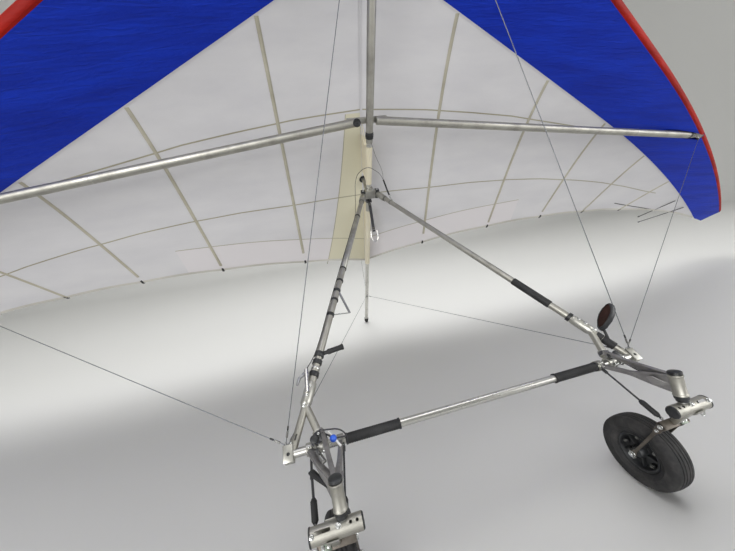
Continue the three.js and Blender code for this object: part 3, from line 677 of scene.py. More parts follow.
# Battens of one wing, as front x, front y, rear x, rear y on the cloth
battens = (
    (624, 850, 656, 2545), (1478, 1215, 1431, 2510), (2272, 1580, 2113, 2470), (3050, 1960, 2720, 2560),
    (3750, 2360, 3330, 2650),
)
tipBattens = ((4278, 2666, 3830, 2847), (4591, 2818, 3934, 2956))
sail = dict(columns=150, rows=44, billow=6, scallop=7, overlap=4, drop=1, flat=(5.3, 2.3))


def bayAt(x, y):
    # Share of the way across the bay between two battens
    lines = [a + (c - a) * max(0, min(1, (y - b) / (d - b))) for a, b, c, d in battens]
    edges = [0, *lines, wing["panelTip"]]
    for low, high in zip(edges, edges[1:]):
        if low <= x <= high:
            return (x - low) / (high - low)
    return 0


def trailEdge(x):
    return trailY(x) - sail["scallop"] * math.sin(math.pi * bayAt(x, trailY(x)))


def sailZ(x, y):
    # Cloth stands a little proud between the battens
    front, rear = bandY(x), trailY(x)
    share = max(0.0, min(1.0, (y - front) / max(1.0, rear - front)))
    swell = math.sin(math.pi * bayAt(x, y)) ** 2 * math.sin(math.pi * share) ** 0.7
    height = topZ(x, y) + sail["billow"] * swell
    return max(height, wing["lowestNose"]) if x < wing["pocketFrom"] + 5 and y < wing["bandRoot"] else height


def clothGrid(columns, rows, place, material):
    # A grid bent into shape. place gives the point and the cloth's own map for column and row shares.
    deselectAll()
    bpy.ops.mesh.primitive_grid_add(x_subdivisions=columns, y_subdivisions=rows, size=1)
    piece = bpy.context.object
    mesh = piece.data
    layer = mesh.uv_layers[0] if mesh.uv_layers else mesh.uv_layers.new()
    layer.name = "cloth"
    maps = []
    for vertex in mesh.vertices:
        point, onCloth = place(vertex.co.x + 0.5, vertex.co.y + 0.5)
        vertex.co = Vector(point) / 1000
        maps.append(onCloth)
    for loop in mesh.loops:
        u, v = maps[loop.vertex_index]
        layer.data[loop.index].uv = (u / 1000, v / 1000)
    mesh.update()
    return painted(piece, material)


def flatArea(piece):
    return sum(polygon.area for polygon in piece.data.polygons)


def thickened(piece, thickness=wing["cloth"]):
    return merged(modified(piece, "SOLIDIFY", thickness=thickness / 1000, offset=-1), 0.000001)


def strip(line, width, material, above=False, lift=0.25, crown=0, thickness=0.7, steps=48, across=2):
    # A strip sewn along a line on the sail. line gives (x, y) for a share, and lift is its height off the
    # cloth.
    def onStrip(a, b):
        x, y = line(a)
        ahead, behind = Vector(line(min(1, a + 0.01))), Vector(line(max(0, a - 0.01)))
        direction = (ahead - behind).normalized()
        reach = (b - 0.5) * width
        x, y = x - direction.y * reach, y + direction.x * reach
        proud = lift + crown * math.sin(math.pi * b)
        z = sailZ(x, y) - sail["drop"] + (proud + thickness if above else -wing["cloth"] - proud)
        return (x, y, z), (x, y)

    return thickened(clothGrid(steps, across, onStrip, material), thickness)


def straight(start, end):
    # A straight line over the sail
    def line(share):
        return tuple(p + (q - p) * share for p, q in zip(start, end))

    return line


def acrossSail(knots):
    # A line over the sail through knots of (x, y)
    def line(share):
        x = knots[0][0] + (knots[-1][0] - knots[0][0]) * share
        for a, b in zip(knots, knots[1:]):
            if x <= b[0]:
                return x, a[1] + (b[1] - a[1]) * (x - a[0]) / (b[0] - a[0])
        return knots[-1]

    return line


def patchCurve(name, value):
    first, second, third = patches[name]
    return 1000 * first + second * value + third * value * value / 1000


kingpost = dict(
    y=1915, radius=16, top=1250, foot=58, base=(60, 70, 55), baseMiddle=32.5,
    tang=(22, 12, 3), tangOut=18.5,
)


def postHole(radius):
    return rod((0, kingpost["y"], 0), (0, kingpost["y"], 600), radius, "white", 32)


def makePanels():
    def onPanel(a, b):
        x = wing["root"] + (wing["panelTip"] - wing["root"]) * a
        front = bandY(x) - sail["overlap"]
        y = front + (trailEdge(x) - front) * b
        return (x, y, sailZ(x, y) - sail["drop"]), (x, y)

    panel = clothGrid(sail["columns"], sail["rows"], onPanel, "white")
    area = flatArea(panel)
    cutOut(thickened(panel), postHole(kingpost["radius"] + 5))
    panels = finishedPair(painted(panel, "whiteLeft"), "sailPanel", replaces=("sail_*",),
                          smooth=60)
    painted(panels[1], "whiteRight")
    return panels, area


# Seams of one wing as knots of (x, y), and the tapes along them and along the reinforcement's edges
seams = {
    "front": ((3, 1368), (540, 1390), (900, 1424), (1300, 1468), (1750, 1545), (2150, 1612), (2480, 1668)),
    "rear": ((3, 2056), (630, 2050), (1100, 2044), (1500, 2052), (1900, 2086), (2300, 2138), (2750, 2220),
             (3100, 2304), (3490, 2412), (3760, 2480)),
}
tapes = dict(
    width=9, patchWidth=6, patchTo=1720, bandTo=4960, bandGap=6, bandLift=0.5,
    bandSteps=90,
    tipCord=((3170, 2540), (3960, 2748)), cordLift=0.8, borderFrom=1390, borderTo=2780,
)


def makeSeams():
    def patchSeam(share):
        x = wing["root"] + (tapes["patchTo"] - wing["root"]) * share
        return x, patchCurve("front", x)

    def bandSeam(share):
        x = wing["pocketFrom"] + (tapes["bandTo"] - wing["pocketFrom"]) * share
        return x, bandY(x) + tapes["bandGap"]

    sides = False, True
    width = tapes["width"]
    lines = [strip(acrossSail(knots), width, "tape", above) for knots in seams.values() for above in sides]
    lines += [strip(patchSeam, tapes["patchWidth"], "tape"),
              strip(straight(*tapes["tipCord"]), width, "rubber", False, tapes["cordLift"])]
    lines += [strip(bandSeam, width, "white", above, tapes["bandLift"], steps=tapes["bandSteps"])
              for above in sides]
    return finishedPair(lines, "sailSeams", smooth=60)


def makeCreamBorder():
    # The photograph shows the cream strip beside the keel on the right half only
    def borderLine(share):
        y = tapes["borderFrom"] + (tapes["borderTo"] - tapes["borderFrom"]) * share
        return patchCurve("half", y), y

    border = strip(borderLine, tapes["patchWidth"], "tape")
    border.matrix_world = Matrix.Diagonal((-1, 1, 1, 1))
    return finished(merged(applied(border)), "creamStripBorder", smooth=60)


pocket = dict(
    width=24, lift=0.6, crown=6, rows=6, pastEnd=30, hemGap=4, seamGap=14,
    tipWidth=20, tipCrown=4, tipRows=4, tipInward=60,
)


def pocketFront(fx, fy, rx, ry):
    # A batten pocket runs forward to the seam of the blue leading edge cloth
    for step in range(80):
        share = step * 0.005
        x, y = fx + (fx - rx) * share, fy + (fy - ry) * share
        if y < bandY(x) + pocket["seamGap"]:
            break
    return x, y


def makeBattenPockets():
    pockets = []
    lift, gap = pocket["lift"], pocket["hemGap"]
    for fx, fy, rx, ry in battens:
        rear = rx, min(ry + pocket["pastEnd"], trailEdge(rx) - gap)
        line = straight(pocketFront(fx, fy, rx, ry), rear)
        for above in (False, True):
            pockets.append(strip(line, pocket["width"], "pocket", above, lift, pocket["crown"],
                                 across=pocket["rows"]))
    for fx, fy, rx, ry in tipBattens:
        inward = rx + pocket["tipInward"]
        line = straight(pocketFront(fx, fy, rx, ry), (inward, trailEdge(inward) - gap))
        pockets.append(strip(line, pocket["tipWidth"], "pocket", True, lift, pocket["tipCrown"],
                             across=pocket["tipRows"]))
    return finishedPair(pockets, "battenPockets", smooth=60)


hem = dict(width=22, start=4, end=5072, past=2, lift=0.9, steps=150)


def makeHem():
    def hemLine(share):
        x = hem["start"] + (hem["end"] - hem["start"]) * share
        return x, trailEdge(x) - hem["width"] / 2 + hem["past"]

    both = [strip(hemLine, hem["width"], "hem", above, hem["lift"], steps=hem["steps"])
            for above in (False, True)]
    return finishedPair(both, "sailHem", smooth=60)


def makeSail():
    panels, area = makePanels()
    seamPair = makeSeams()
    border = makeCreamBorder()
    sewn = seamPair, makeBattenPockets(), makeHem()


# Crossbar: its line, the joint on the leading edge tube and the foot of the bracket there
crossbar = dict(
    radius=29, inner=vec(70, 1384, 60), jointX=3330, standOff=140, wall=2, wireRise=86,
    bands=(1760, 2460), bandWidth=9, hingeTop=94, hingeBolts=((110, 1.1), (-110, 1.1), (0, 1.2)),
    plug=[(0, -7), (20, -6.4), (27, -4), (29.6, -1), (29.6, 5), (29.1, 5), (29.1, 0), (0, 0)],
    cap=[(29.2, -22), (30.6, -22), (30.6, 2), (26, 5), (16, 6), (0, 6), (0, 0.6), (29.2, 0.6)],
)
crossbarJoint = onTubeLine(crossbar["jointX"])
crossbarEnd = crossbarJoint + (crossbar["inner"] - crossbarJoint).normalized() * crossbar["standOff"]
tangFoot = crossbarEnd + (crossbarJoint - crossbarEnd) * 0.25 + vec(0, 0, -62)
upperTang = tangFoot + vec(0, 0, crossbar["wireRise"])

# Sleeve of cloth around the leading edge tube: rows of its grid, and the holes for bar, bracket and wire
sleeve = dict(
    columns=130, flat=16, stripe=3, arc=10, tipGap=60, size=(6.2, 1.15),
    barFrom=0.8, barGap=9, bracket=(40, 34, 130), bracketRise=20, wireHole=8, wireTo=0.14,
)


def sleevePoint(x, k):
    # Around the leading edge: rear seam, lower cloth, stripe, nose, stripe, upper cloth, rear seam
    y0, z0, half = tubeY(x), tubeZ(x), wing["noseRadius"]
    rear = bandY(x)
    edge = min(leadY(x) + wing["stripe"], rear - 5)
    rearLow = topZ(x, rear) - 3
    flat, stripe, bow = sleeve["flat"], sleeve["stripe"], sleeve["arc"]
    slope = (rearLow - (z0 - half)) / (rear - y0)
    if k <= flat:
        y = rear + (edge - rear) * k / flat
        return y, z0 - half + slope * (y - y0)
    if k <= flat + stripe:
        y = edge + (y0 - edge) * (k - flat) / stripe
        return y, z0 - half + slope * (y - y0)
    if k <= flat + stripe + bow:
        turn = math.pi * (k - flat - stripe) / bow
        return y0 - wing["tubeSetback"] * math.sin(turn), z0 - half * math.cos(turn)
    if k <= flat + 2 * stripe + bow:
        y = y0 + (edge - y0) * (k - flat - stripe - bow) / stripe
    else:
        y = edge + (rear - edge) * (k - flat - 2 * stripe - bow) / flat
    return y, topZ(x, y)


def makeLeadingSleeve():
    rows = 2 * sleeve["flat"] + 2 * sleeve["stripe"] + sleeve["arc"]
    first, last = wing["pocketFrom"], wing["halfSpan"] - sleeve["tipGap"]

    def onSleeve(a, b):
        x = first + (last - first) * a
        k = round(b * rows)
        y, z = sleevePoint(x, k)
        return (x, y, z), (x, y if k < rows / 2 else 2 * leadY(x) - y)

    piece = clothGrid(sleeve["columns"], rows, onSleeve, "blue")
    piece.data.materials.append(finish["orange"])
    stripeRows = range(sleeve["flat"], sleeve["flat"] + 2 * sleeve["stripe"] + sleeve["arc"])
    for index, polygon in enumerate(piece.data.polygons):
        polygon.material_index = int(index // sleeve["columns"] in stripeRows)
    thickened(piece)
    inner = crossbar["inner"]
    bar = rod(inner + (crossbarEnd - inner) * sleeve["barFrom"], crossbarJoint,
              crossbar["radius"] + sleeve["barGap"], "blue", 32)
    bracket = block(sleeve["bracket"], tangFoot + vec(0, 0, sleeve["bracketRise"]), "blue")
    wireEnd = tangFoot + (vec(0, kingpost["y"], kingpost["top"]) - tangFoot) * sleeve["wireTo"]
    cutOut(piece, bar, bracket, rod(upperTang, wireEnd, sleeve["wireHole"], "blue", 16))
    pair = finishedPair(piece, "leadingEdgeSleeve", replaces=("leading_edge_pocket_*",),
                        smooth=60)


# Cloth over the nose between both sleeves. The upper front wire leaves the nose through its eyelet.
frontWire = (0, 70, 28.2), (0, 1897, 1230)
noseCloth = dict(
    columns=16, rows=48, stripeRows=6, front=62, overlap=6, rear=8, lift=0.6,
    droop=16,
    flat=(0.22, 0.6), eyelet=(13, 2.6), eyeletReach=(2.4, 2.2), eyeletHole=6,
)


def makeNoseCloth():
    front, lift, columns = noseCloth["front"], noseCloth["lift"], noseCloth["columns"]

    def onNose(a, b):
        x = (a - 0.5) * 2 * (wing["pocketFrom"] + noseCloth["overlap"])
        far = bandY(abs(x)) + noseCloth["rear"]
        y = front + (far - front) * b
        droop = noseCloth["droop"] * max(0, 1 - b * 16)
        return (x, y, sailZ(abs(x), y) + lift - droop), (x, y)

    nose = clothGrid(columns, noseCloth["rows"], onNose, "blue")
    nose.data.materials.append(finish["orange"])
    for index, polygon in enumerate(nose.data.polygons):
        polygon.material_index = int(index // columns < noseCloth["stripeRows"])
    thickened(nose)
    (_, footY, footZ), (_, headY, headZ) = frontWire
    wireSlope = headZ - footZ, headY - footY
    wireY = next(y for y in range(120, 560)
                 if footZ + (y - footY) * wireSlope[0] / wireSlope[1] > sailZ(wing["root"], y) + lift)
    eye = vec(0, wireY, sailZ(wing["root"], wireY))
    slope = vec(0, 20, sailZ(wing["root"], wireY + 20) - eye.z)
    normal = vec(1, 0, 0).cross(slope).normalized()
    cutOut(nose, rod(eye - normal * 8, eye + normal * 8, noseCloth["eyeletHole"], "blue", 20))
    below, above = noseCloth["eyeletReach"]
    eyelet = ring(eye - normal * below, eye + normal * above, *noseCloth["eyelet"], "black", 28)
    finished(eyelet, "noseEyelet")
    finished(nose, "noseCloth", smooth=60)


# White tape along the middle of the sail, above and below it, with a row of stitches at its front
midTape = dict(
    half=9, start=560, rearGap=3, lifts=(0.5, -3.4), thickness=0.9, rows=90,
    stitch=(565, 580), stitchX=10, stitchDrop=3, hole=20,
)


def makeMiddleTape():
    start, root = midTape["start"], wing["root"]
    strips = []
    for lift in midTape["lifts"]:
        def onMiddle(a, b):
            x = (a - 0.5) * 2 * midTape["half"]
            y = start + (trailEdge(root) - midTape["rearGap"] - start) * b
            return (x, y, sailZ(abs(x), y) - sail["drop"] + lift), (x, y)

        strips.append(thickened(clothGrid(4, midTape["rows"], onMiddle, "white"), midTape["thickness"]))
    for x in (-midTape["stitchX"], midTape["stitchX"]):
        ends = [(x, y, sailZ(root, y) - midTape["stitchDrop"]) for y in midTape["stitch"]]
        strips.append(rod(*ends, 1, "tape", 8, 0))
    middle = cutOut(joined(*strips), postHole(midTape["hole"]))
    finished(middle, "sailMiddleTape", smooth=60)


# Two rings that hold the sail's hole round the kingpost, as heights from the cloth
grommet = dict(outer=34, inner=17, rings=((1, 3.5), (-7, -4.6)))


def makeGrommet():
    place = vec(0, kingpost["y"], topZ(0, kingpost["y"]))
    rings = [ring(place + vec(0, 0, low), place + vec(0, 0, high), grommet["outer"], grommet["inner"],
                  "black") for low, high in grommet["rings"]]
    finished(rings, "kingpostGrommet")


# Keel pocket: hung share of its girth, and the ripple that lets it look like cloth
keelPocket = dict(
    radius=23.6, topHalf=5, topDrop=5, hung=0.7, ripple=1.5, rippleLength=37,
    columns=40, rows=34, thickness=1.0,
)


def makeKeelPocket(name, node, start, end):
    # A sleeve of cloth that hangs from the middle of the sail around the keel
    radius, half, hung = keelPocket["radius"], keelPocket["topHalf"], keelPocket["hung"]

    def onPocket(a, b):
        y = start + (end - start) * a
        top = sailZ(wing["root"], y) - keelPocket["topDrop"]
        side = 1 if b < 0.5 else -1
        share = 1 - abs(2 * b - 1)  # 0 at the sail, 1 under the keel
        if share < hung:
            down = share / hung
            ripple = keelPocket["ripple"] * math.sin(y / keelPocket["rippleLength"] + down * 5)
            x = half + (radius - half) * down ** 3 + ripple * down * (1 - down)
            z = top * (1 - down)
        else:
            turn = math.pi / 2 * (share - hung) / 0.3
            x, z = radius * math.cos(turn), -radius * math.sin(turn)
        return (side * x, y, z), (y, b * 2 * top)

    piece = clothGrid(keelPocket["columns"], keelPocket["rows"], onPocket, "cream")
    finished(thickened(piece, keelPocket["thickness"]), name, replaces=(node,), smooth=60)


makeSail()
print("sail made")
makeLeadingSleeve()
makeNoseCloth()
makeMiddleTape()
makeGrommet()
makeKeelPocket("keelPocketFront", "keel_pocket_front", 1540, 1846)
makeKeelPocket("keelPocketRear", "keel_pocket_rear", 2110, 2800)
print("sleeves and pockets made")

# Black caps with a loop of elastic at the hem, whose points are (x, how far aft), and wands that reach
# past it
battenEnd = dict(
    cap=[(0, -26), (7, -26), (8.5, -20), (8.5, 4), (6, 9), (0, 10)],
    wandCap=[(0, -14), (7, -14), (7, 6), (4, 11), (0, 11)],
    loop=((9, -16), (11, 8), (0, 15), (-11, 8), (-9, -16)),
    sunk=2, cordRadius=1.8, wandRadius=5, wandDrop=9, wandRise=2,
)


def makeBattenEnds():
    caps = []
    for fx, fy, rx, ry in battens:
        rear = vec(rx, trailEdge(rx), sailZ(rx, trailEdge(rx)) - battenEnd["sunk"])
        aft = (rear - vec(fx, fy, sailZ(fx, fy))).normalized()
        caps.append(turned(battenEnd["cap"], rear, rear + aft, "black", 20))
        loop = [rear + aft * back + vec(x, 0, 0) for x, back in battenEnd["loop"]]
        caps.append(bent(loop, battenEnd["cordRadius"], "cord"))
    for fx, fy, rx, ry in tipBattens:
        front = vec(fx, fy, sailZ(fx, fy) - battenEnd["wandDrop"])
        rear = vec(rx, ry, sailZ(rx, trailY(rx)) + battenEnd["wandRise"])
        caps += [rod(front, rear, battenEnd["wandRadius"], "black", 16),
                 turned(battenEnd["wandCap"], rear, rear * 2 - front, "black", 16)]
    finishedPair(caps, "battenEnds")


makeBattenEnds()

# Keel tube, its sleeve, collar and end cap. Rings are (from, to, outer, inner, material, softness) along y.
keel = dict(front=30, rear=3975, radius=22, wall=1.8, sleeve=(234, 1436), sleeveRadii=(26, 22.2))
collarRings = (
    (1436.5, 1481, 29, 22.3, "black", 2), (1449, 1468, 30.2, 28, "rubber", 1),
    (1483, 1512, 24.6, 22.2, "plate", 1),
)
collarBolt = (0, 1497, 24.4)
endCap = dict(radius=27, gap=3.3, dome=(0.25, 0.5, 0.8, 1.1, 1.35))
endCapSide = [(22.3, -56), (26, -56), (27, -53), (27, -44), (25.6, -42), (25.6, -38), (27, -36), (27, 0)]
rearTang = dict(y=3380, z=23, size=(20, 46, 3), boltApart=13)
keelBands = ((640, 26.8, 25.8), (1990, 22.8, 21.8), (3120, 22.8, 21.8))


def onKeel(y):
    return vec(0, y, 0)


def makeKeel():
    finished(tube(onKeel(keel["front"]), onKeel(keel["rear"]), keel["radius"], keel["wall"], "bright"),
             "keelTube", replaces=("keel_tube",))
    first, last = keel["sleeve"]
    finished(ring(onKeel(first), onKeel(last), *keel["sleeveRadii"], "tube", 40), "keelSleeve",
             replaces=("keel_sleeve",))
    rings = [ring(onKeel(first), onKeel(last), outer, inner, material, 40, soft)
             for first, last, outer, inner, material, soft in collarRings]
    collar = joined(*rings, bolt(collarBolt, (0, 0, 1), 0.6))
    finished(collar, "keelCollar", replaces=("keel_collar",))
    radius = endCap["radius"]
    dome = [(radius * math.cos(t), radius * math.sin(t)) for t in endCap["dome"]] + [(0, radius)]
    cap = turned(endCapSide + dome + [(0, 0.5), (22.3, 0.5)], onKeel(keel["rear"] + endCap["gap"]),
                 onKeel(4100), "rubber", 40, 0)
    finished(cap, "keelEndCap", replaces=("keel_end_cap",))
    fittings = []
    for side in (-1, 1):  # tangs that hold the rear wires
        y, z = rearTang["y"], side * rearTang["z"]
        fittings.append(block(rearTang["size"], (0, y, z), "steel", soft=0.8))
        for apart in (rearTang["boltApart"], -rearTang["boltApart"]):
            fittings.append(bolt((0, y + apart, z + 1.6 * side), (0, 0, side), 0.7))
    for y, outer, inner in keelBands:
        fittings.append(ring(onKeel(y), onKeel(y + 7), outer, inner, "plate", 40, 0.3))
    finished(fittings, "keelFittings")


# A pulley cover under the right half of the crossbar hinge, and the cords that pull the crossbars back
pulley = dict(
    profile=[(0, 0), (24, 0), (28, 3), (28, 9), (25, 12), (21, 12), (19, 9), (7, 9), (6, 13), (0, 13)],
    start=(-86, 1380, 34), end=(-86, 1366, 2), cords=(-62, -44), cordRadius=3,
    cordLine=((1, 1398, 58), (0.8, 1440, 40), (0.72, 1480, 10), (0.62, 1520, -14)),  # share of x, y, z
)
bracketEye = dict(drop=2, radius=6, wire=2, boltsUp=(14, 34), boltsAhead=4.4)


def makeCrossbars():
    inner, end = crossbar["inner"], crossbarEnd
    along = (end - inner).normalized()
    bar = tube(inner, end, crossbar["radius"], crossbar["wall"], "tube", 20, 48)
    finishedPair(bar, "crossbar", replaces=("crossbar_*",))
    plug = turned(crossbar["plug"], inner, end, "plate", 48, 0.4)
    rings = [ring(inner + along * d, inner + along * (d + crossbar["bandWidth"]), 29.7, 28.9, "plate", 48,
                  0.4) for d in crossbar["bands"]]
    outer = turned(crossbar["cap"], end, end + along, "black", 48, 0.5)
    finishedPair([plug, *rings, outer], "crossbarEnds")
    hinge = fromFrame("crossbar_hinge", "plate", 1.5)
    bolts = [bolt((x, inner.y, crossbar["hingeTop"]), (0, 0, 1), size) for x, size in crossbar["hingeBolts"]]
    finished([hinge, *bolts], "crossbarHinge", replaces=("crossbar_hinge",))
    bracket = fromFrame("crossbar_bracket_left", "plate", 1.0)
    parts = [bolt(tangFoot + vec(0, -bracketEye["boltsAhead"], up), (0, -1, 0), 0.7)
             for up in bracketEye["boltsUp"]]
    eyeAt = tangFoot - vec(0, 0, bracketEye["drop"])
    parts.append(bead(eyeAt, (0, 1, 0), bracketEye["radius"], bracketEye["wire"], "bolt"))
    finishedPair([bracket, *parts], "crossbarBracket", replaces=("crossbar_bracket_*",))
    disc = turned(pulley["profile"], pulley["start"], pulley["end"], "black", 48, 0.5)
    hauls = [bent([(x * share, y, z) for share, y, z in pulley["cordLine"]], pulley["cordRadius"], "cream")
             for x in pulley["cords"]]
    finished([disc, *hauls], "crossbarPulley")


# Leading edge tube: a bent tube from near the nose to the tip, with a cap and a band of webbing
leadingTube = dict(
    start=60, tipGap=40, columns=110, rows=24, wall=0.002, band=(30, 14),
    bandRadii=(26.4, 25.1),
    cap=[(0, -10), (25.6, -10), (26.2, -6), (26, 2), (20, 8), (10, 11), (0, 12)],
)


def makeLeadingEdges():
    first, last, radius = leadingTube["start"], wing["halfSpan"] - leadingTube["tipGap"], wing["tubeRadius"]

    def onTube(a, b):
        x = first + (last - first) * a
        turn = -2 * math.pi * b
        lead = math.atan2(tubeY(x + 1) - tubeY(x), 1)
        reach = radius * math.cos(turn)
        return (x - reach * math.sin(lead), tubeY(x) + reach * math.cos(lead),
                tubeZ(x) + radius * math.sin(turn)), (x, turn * radius)

    piece = clothGrid(leadingTube["columns"], leadingTube["rows"], onTube, "tube")
    piece.data.uv_layers[0].name = "tube"
    for loop in piece.data.uv_layers[0].data:
        loop.uv = (loop.uv[1], loop.uv[0])
    modified(piece, "WELD", merge_threshold=0.0001)
    modified(piece, "SOLIDIFY", thickness=leadingTube["wall"], offset=-1)
    merged(piece)
    tip = onTubeLine(last)
    out = (tip - onTubeLine(last - 20)).normalized()
    cap = turned(leadingTube["cap"], tip, tip + out, "black", 32)
    far, near = leadingTube["band"]
    band = ring(tip - out * far, tip - out * near, *leadingTube["bandRadii"], "webbing", 32)
    finishedPair([piece, cap, band], "leadingEdgeTube", replaces=("leading_edge_*",))


# Bolts through both nose plates, and the lug under them with an eye for each lower front wire
nose = dict(
    bolts=((0, 27), (46, 116), (-46, 116)), faces=(26.5, -38.2), smallBolts=((-16, 200), (16, 200)),
    lug=(44, 16, 4), lugAt=(0, 70, -38.8), eyes=((-17, 62, -43), (17, 62, -43)),
)


def makeNose():
    top, bottom = nose["faces"]
    parts = [fromFrame("nose_plates", "plate", 0.8)]
    parts += [bolt((x, y, z), (0, 0, math.copysign(1, z)), 0.9) for x, y in nose["bolts"]
              for z in (top, bottom)]
    parts += [bolt((x, y, bottom), (0, 0, -1), 0.7) for x, y in nose["smallBolts"]]
    parts.append(block(nose["lug"], nose["lugAt"], "steel", soft=0.8))
    parts += [bead(place, (1, 0, 0), 6, 2.2, "bolt") for place in nose["eyes"]]
    finished(parts, "nosePlates", replaces=("nose_plates",))


def makeKingpost():
    y, radius, top = kingpost["y"], kingpost["radius"], kingpost["top"]
    tall, wide, thin = kingpost["tang"]
    base = block(kingpost["base"], (0, y, kingpost["baseMiddle"]), "plate", soft=2.5)
    cutOut(base, rod((0, y - 60, 0), (0, y + 60, 0), keel["radius"] + 0.4, "plate", 40))
    parts = [base, rod((0, y, kingpost["foot"]), (0, y, top - 3), radius, "tube", 40)]
    parts += [ring((0, y, kingpost["foot"] + 1.5), (0, y, 84), radius + 4, radius - 0.2, "black", 36, 1.5),
              ring((0, y, top - 34), (0, y, top), radius + 2, radius - 0.1, "black", 36, 1.2),
              rod((0, y, top - 4), (0, y, top), radius + 1.2, "black", 36, 0.6)]
    for s in (1, -1):
        out = s * kingpost["tangOut"]
        parts += [bolt((s * 30.2, y, 40), (s, 0, 0), 0.9),
                  block((thin, wide, tall), (out, y, top - tall), "steel", soft=0.6),
                  block((wide, thin, tall), (0, y + out, top - tall), "steel", soft=0.6),
                  bolt((out + s * 1.3, y, top - tall - 4), (s, 0, 0), 0.5)]
    finished(parts, "kingpost", replaces=("kingpost",))


makeKeel()
makeCrossbars()
makeLeadingEdges()
makeNose()
makeKingpost()
print("spars made")

# Control frame: a downtube on each side, a fork of two legs at its foot, and the base bar
frameTop, frameFoot = vec(43, 1915, -16), vec(750, 1791, -1796)
innerFoot = vec(635, 1791, -1796)
barY, barZ = frameFoot.y, frameFoot.z
tubes = dict(down=17, bar=15, leg=14.5, wall=1.8, downFrom=0.04, downTo=0.9, legFrom=0.912)
legTop = frameTop.lerp(frameFoot, tubes["legFrom"])


def onLine(share, side=1):
    place = frameTop.lerp(frameFoot, share)
    return vec(place.x * side, place.y, place.z)


def onBar(x):
    return vec(x, barY, barZ)


def barCutter():
    return rod(onBar(-900), onBar(900), tubes["bar"] + 0.4, "tube", 40)


def capped(start, end, outer, inner, material, lip=2.5):
    # A sleeve on a tube, its ends drawn in to the tube
    length = (Vector(end) - Vector(start)).length
    outline = [(inner, 0), (inner + 1, 0), (outer, lip), (outer, length - lip), (inner + 1, length),
               (inner, length)]
    return turned(outline, start, end, material, 40, 0.4)


# Sleeves and rings on the downtubes: from and to as shares of the line, radius, material, lip
leftSleeves = ((0.693, 0.807, 20, "rubber", 2.5), (0.854, 0.8635, 22.5, "black", 1))
rightSleeves = (
    (0.194, 0.2, 21, "black", 1), (0.2, 0.495, 19.6, "plate", 3), (0.495, 0.5, 20.6, "black", 1),
    (0.548, 0.555, 20.6, "black", 1), (0.623, 0.63, 20.6, "black", 1), (0.811, 0.822, 21.5, "black", 1),
    (0.829, 0.836, 20, "bright", 1),
)
skin = tubes["down"] + 0.1


def sleevesOn(side, rows):
    return joined(*(capped(onLine(first, side), onLine(last, side), outer, skin, material, lip)
                    for first, last, outer, material, lip in rows))


def makeDowntubes():
    bar = tube(onLine(tubes["downFrom"]), onLine(tubes["downTo"]), tubes["down"], tubes["wall"], "tube", 20)
    finishedPair(bar, "downtube", replaces=("downtube_*",))
    finished(sleevesOn(1, leftSleeves), "downtubeSleeveLeft")
    finished(sleevesOn(-1, rightSleeves), "downtubeRingsRight")


# Handle for a passenger on the glider's right downtube, and a short bar on two clips behind it
handle = dict(
    profile=[(0, 2), (9, 2), (9, 22), (12, 24), (13, 30), (12, 40), (12, 78), (13, 88), (14.5, 94), (12, 99),
             (0, 100)],
    root=0.797, shift=vec(16, 0, 2), end=vec(-500, 1814, -1422), clamp=(0.79, 0.804, 22),
)
sideSpar = dict(
    ends=(vec(-455, 1838, -1070), vec(-422, 1846, -1225)), radius=6, clips=(0.592, 0.679),
    clipRadius=3.5, clipHalf=0.005, clipReach=(-0.02, 0.8),
)


def makeHandle():
    grip = turned(handle["profile"], onLine(handle["root"], -1) + handle["shift"], handle["end"], "rubber")
    first, last, outer = handle["clamp"]
    clamp = capped(onLine(first, -1), onLine(last, -1), outer, skin, "black", 2)
    finished([grip, clamp], "passengerHandle")
    spar = [rod(*sideSpar["ends"], sideSpar["radius"], "grey", 24)]
    near, far = sideSpar["clipReach"]
    half = sideSpar["clipHalf"]
    for end, share in zip(sideSpar["ends"], sideSpar["clips"]):
        clip = onLine(share, -1)
        spar += [rod(end.lerp(clip, near), end.lerp(clip, far), sideSpar["clipRadius"], "bolt", 16),
                 capped(onLine(share - half, -1), onLine(share + half, -1), 20, skin, "black", 1)]
    finished(spar, "sideSpar")


# Apex: black caps at both sides, bolts as (x, y, way, size), a ring on each downtube and two on the keel
apex = dict(
    z=-48, capX=60, cap=(34, 73, 39),
    bolts=((60, 1880, -1, 1.0), (60, 1950, 1, 1.0), (24, 1880, -1, 0.8)),
    legRing=(0.078, 0.084, 21.5, 17.2), keelRings={1: (1884, 1892), -1: (1938, 1946)},
    keelRingRadii=(25.4, 22.1),
)


def makeApex():
    parts = [fromFrame("control_frame_apex", "plate", 1.5)]
    first, last, outer, inner = apex["legRing"]
    for s, (front, rear) in apex["keelRings"].items():
        parts.append(block(apex["cap"], (s * apex["capX"], frameTop.y, apex["z"]), "black", soft=2.5))
        for x, y, way, size in apex["bolts"]:
            parts.append(bolt((s * x, y, apex["z"]), (0, way, 0), size))
        parts += [ring(onLine(first, s), onLine(last, s), outer, inner, "steel", 36),
                  ring(onKeel(front), onKeel(rear), *apex["keelRingRadii"], "plate", 40)]
    finished(parts, "controlFrameApex", replaces=("control_frame_apex",))


# Corner block: its box, the hole for the base bar, a plug in its front face and a plate with three eyes on
# top
cornerBox = dict(
    x=(742, 778), half=19, middle=-1794, height=56, top=-1766, plugX=759, plugRadius=6,
    tang=(30, 30, 3), eyeX=766, eyeApart=14,
)


def cornerPlace():
    return (cornerBox["x"][0] + cornerBox["x"][1]) / 2, barY, cornerBox["middle"]


def cornerCutter():
    grow = 0.4
    width = cornerBox["x"][1] - cornerBox["x"][0]
    size = (width + 2 * grow, 2 * cornerBox["half"] + 2 * grow, cornerBox["height"] + 2 * grow)
    return block(size, cornerPlace(), "grey", soft=0.01)


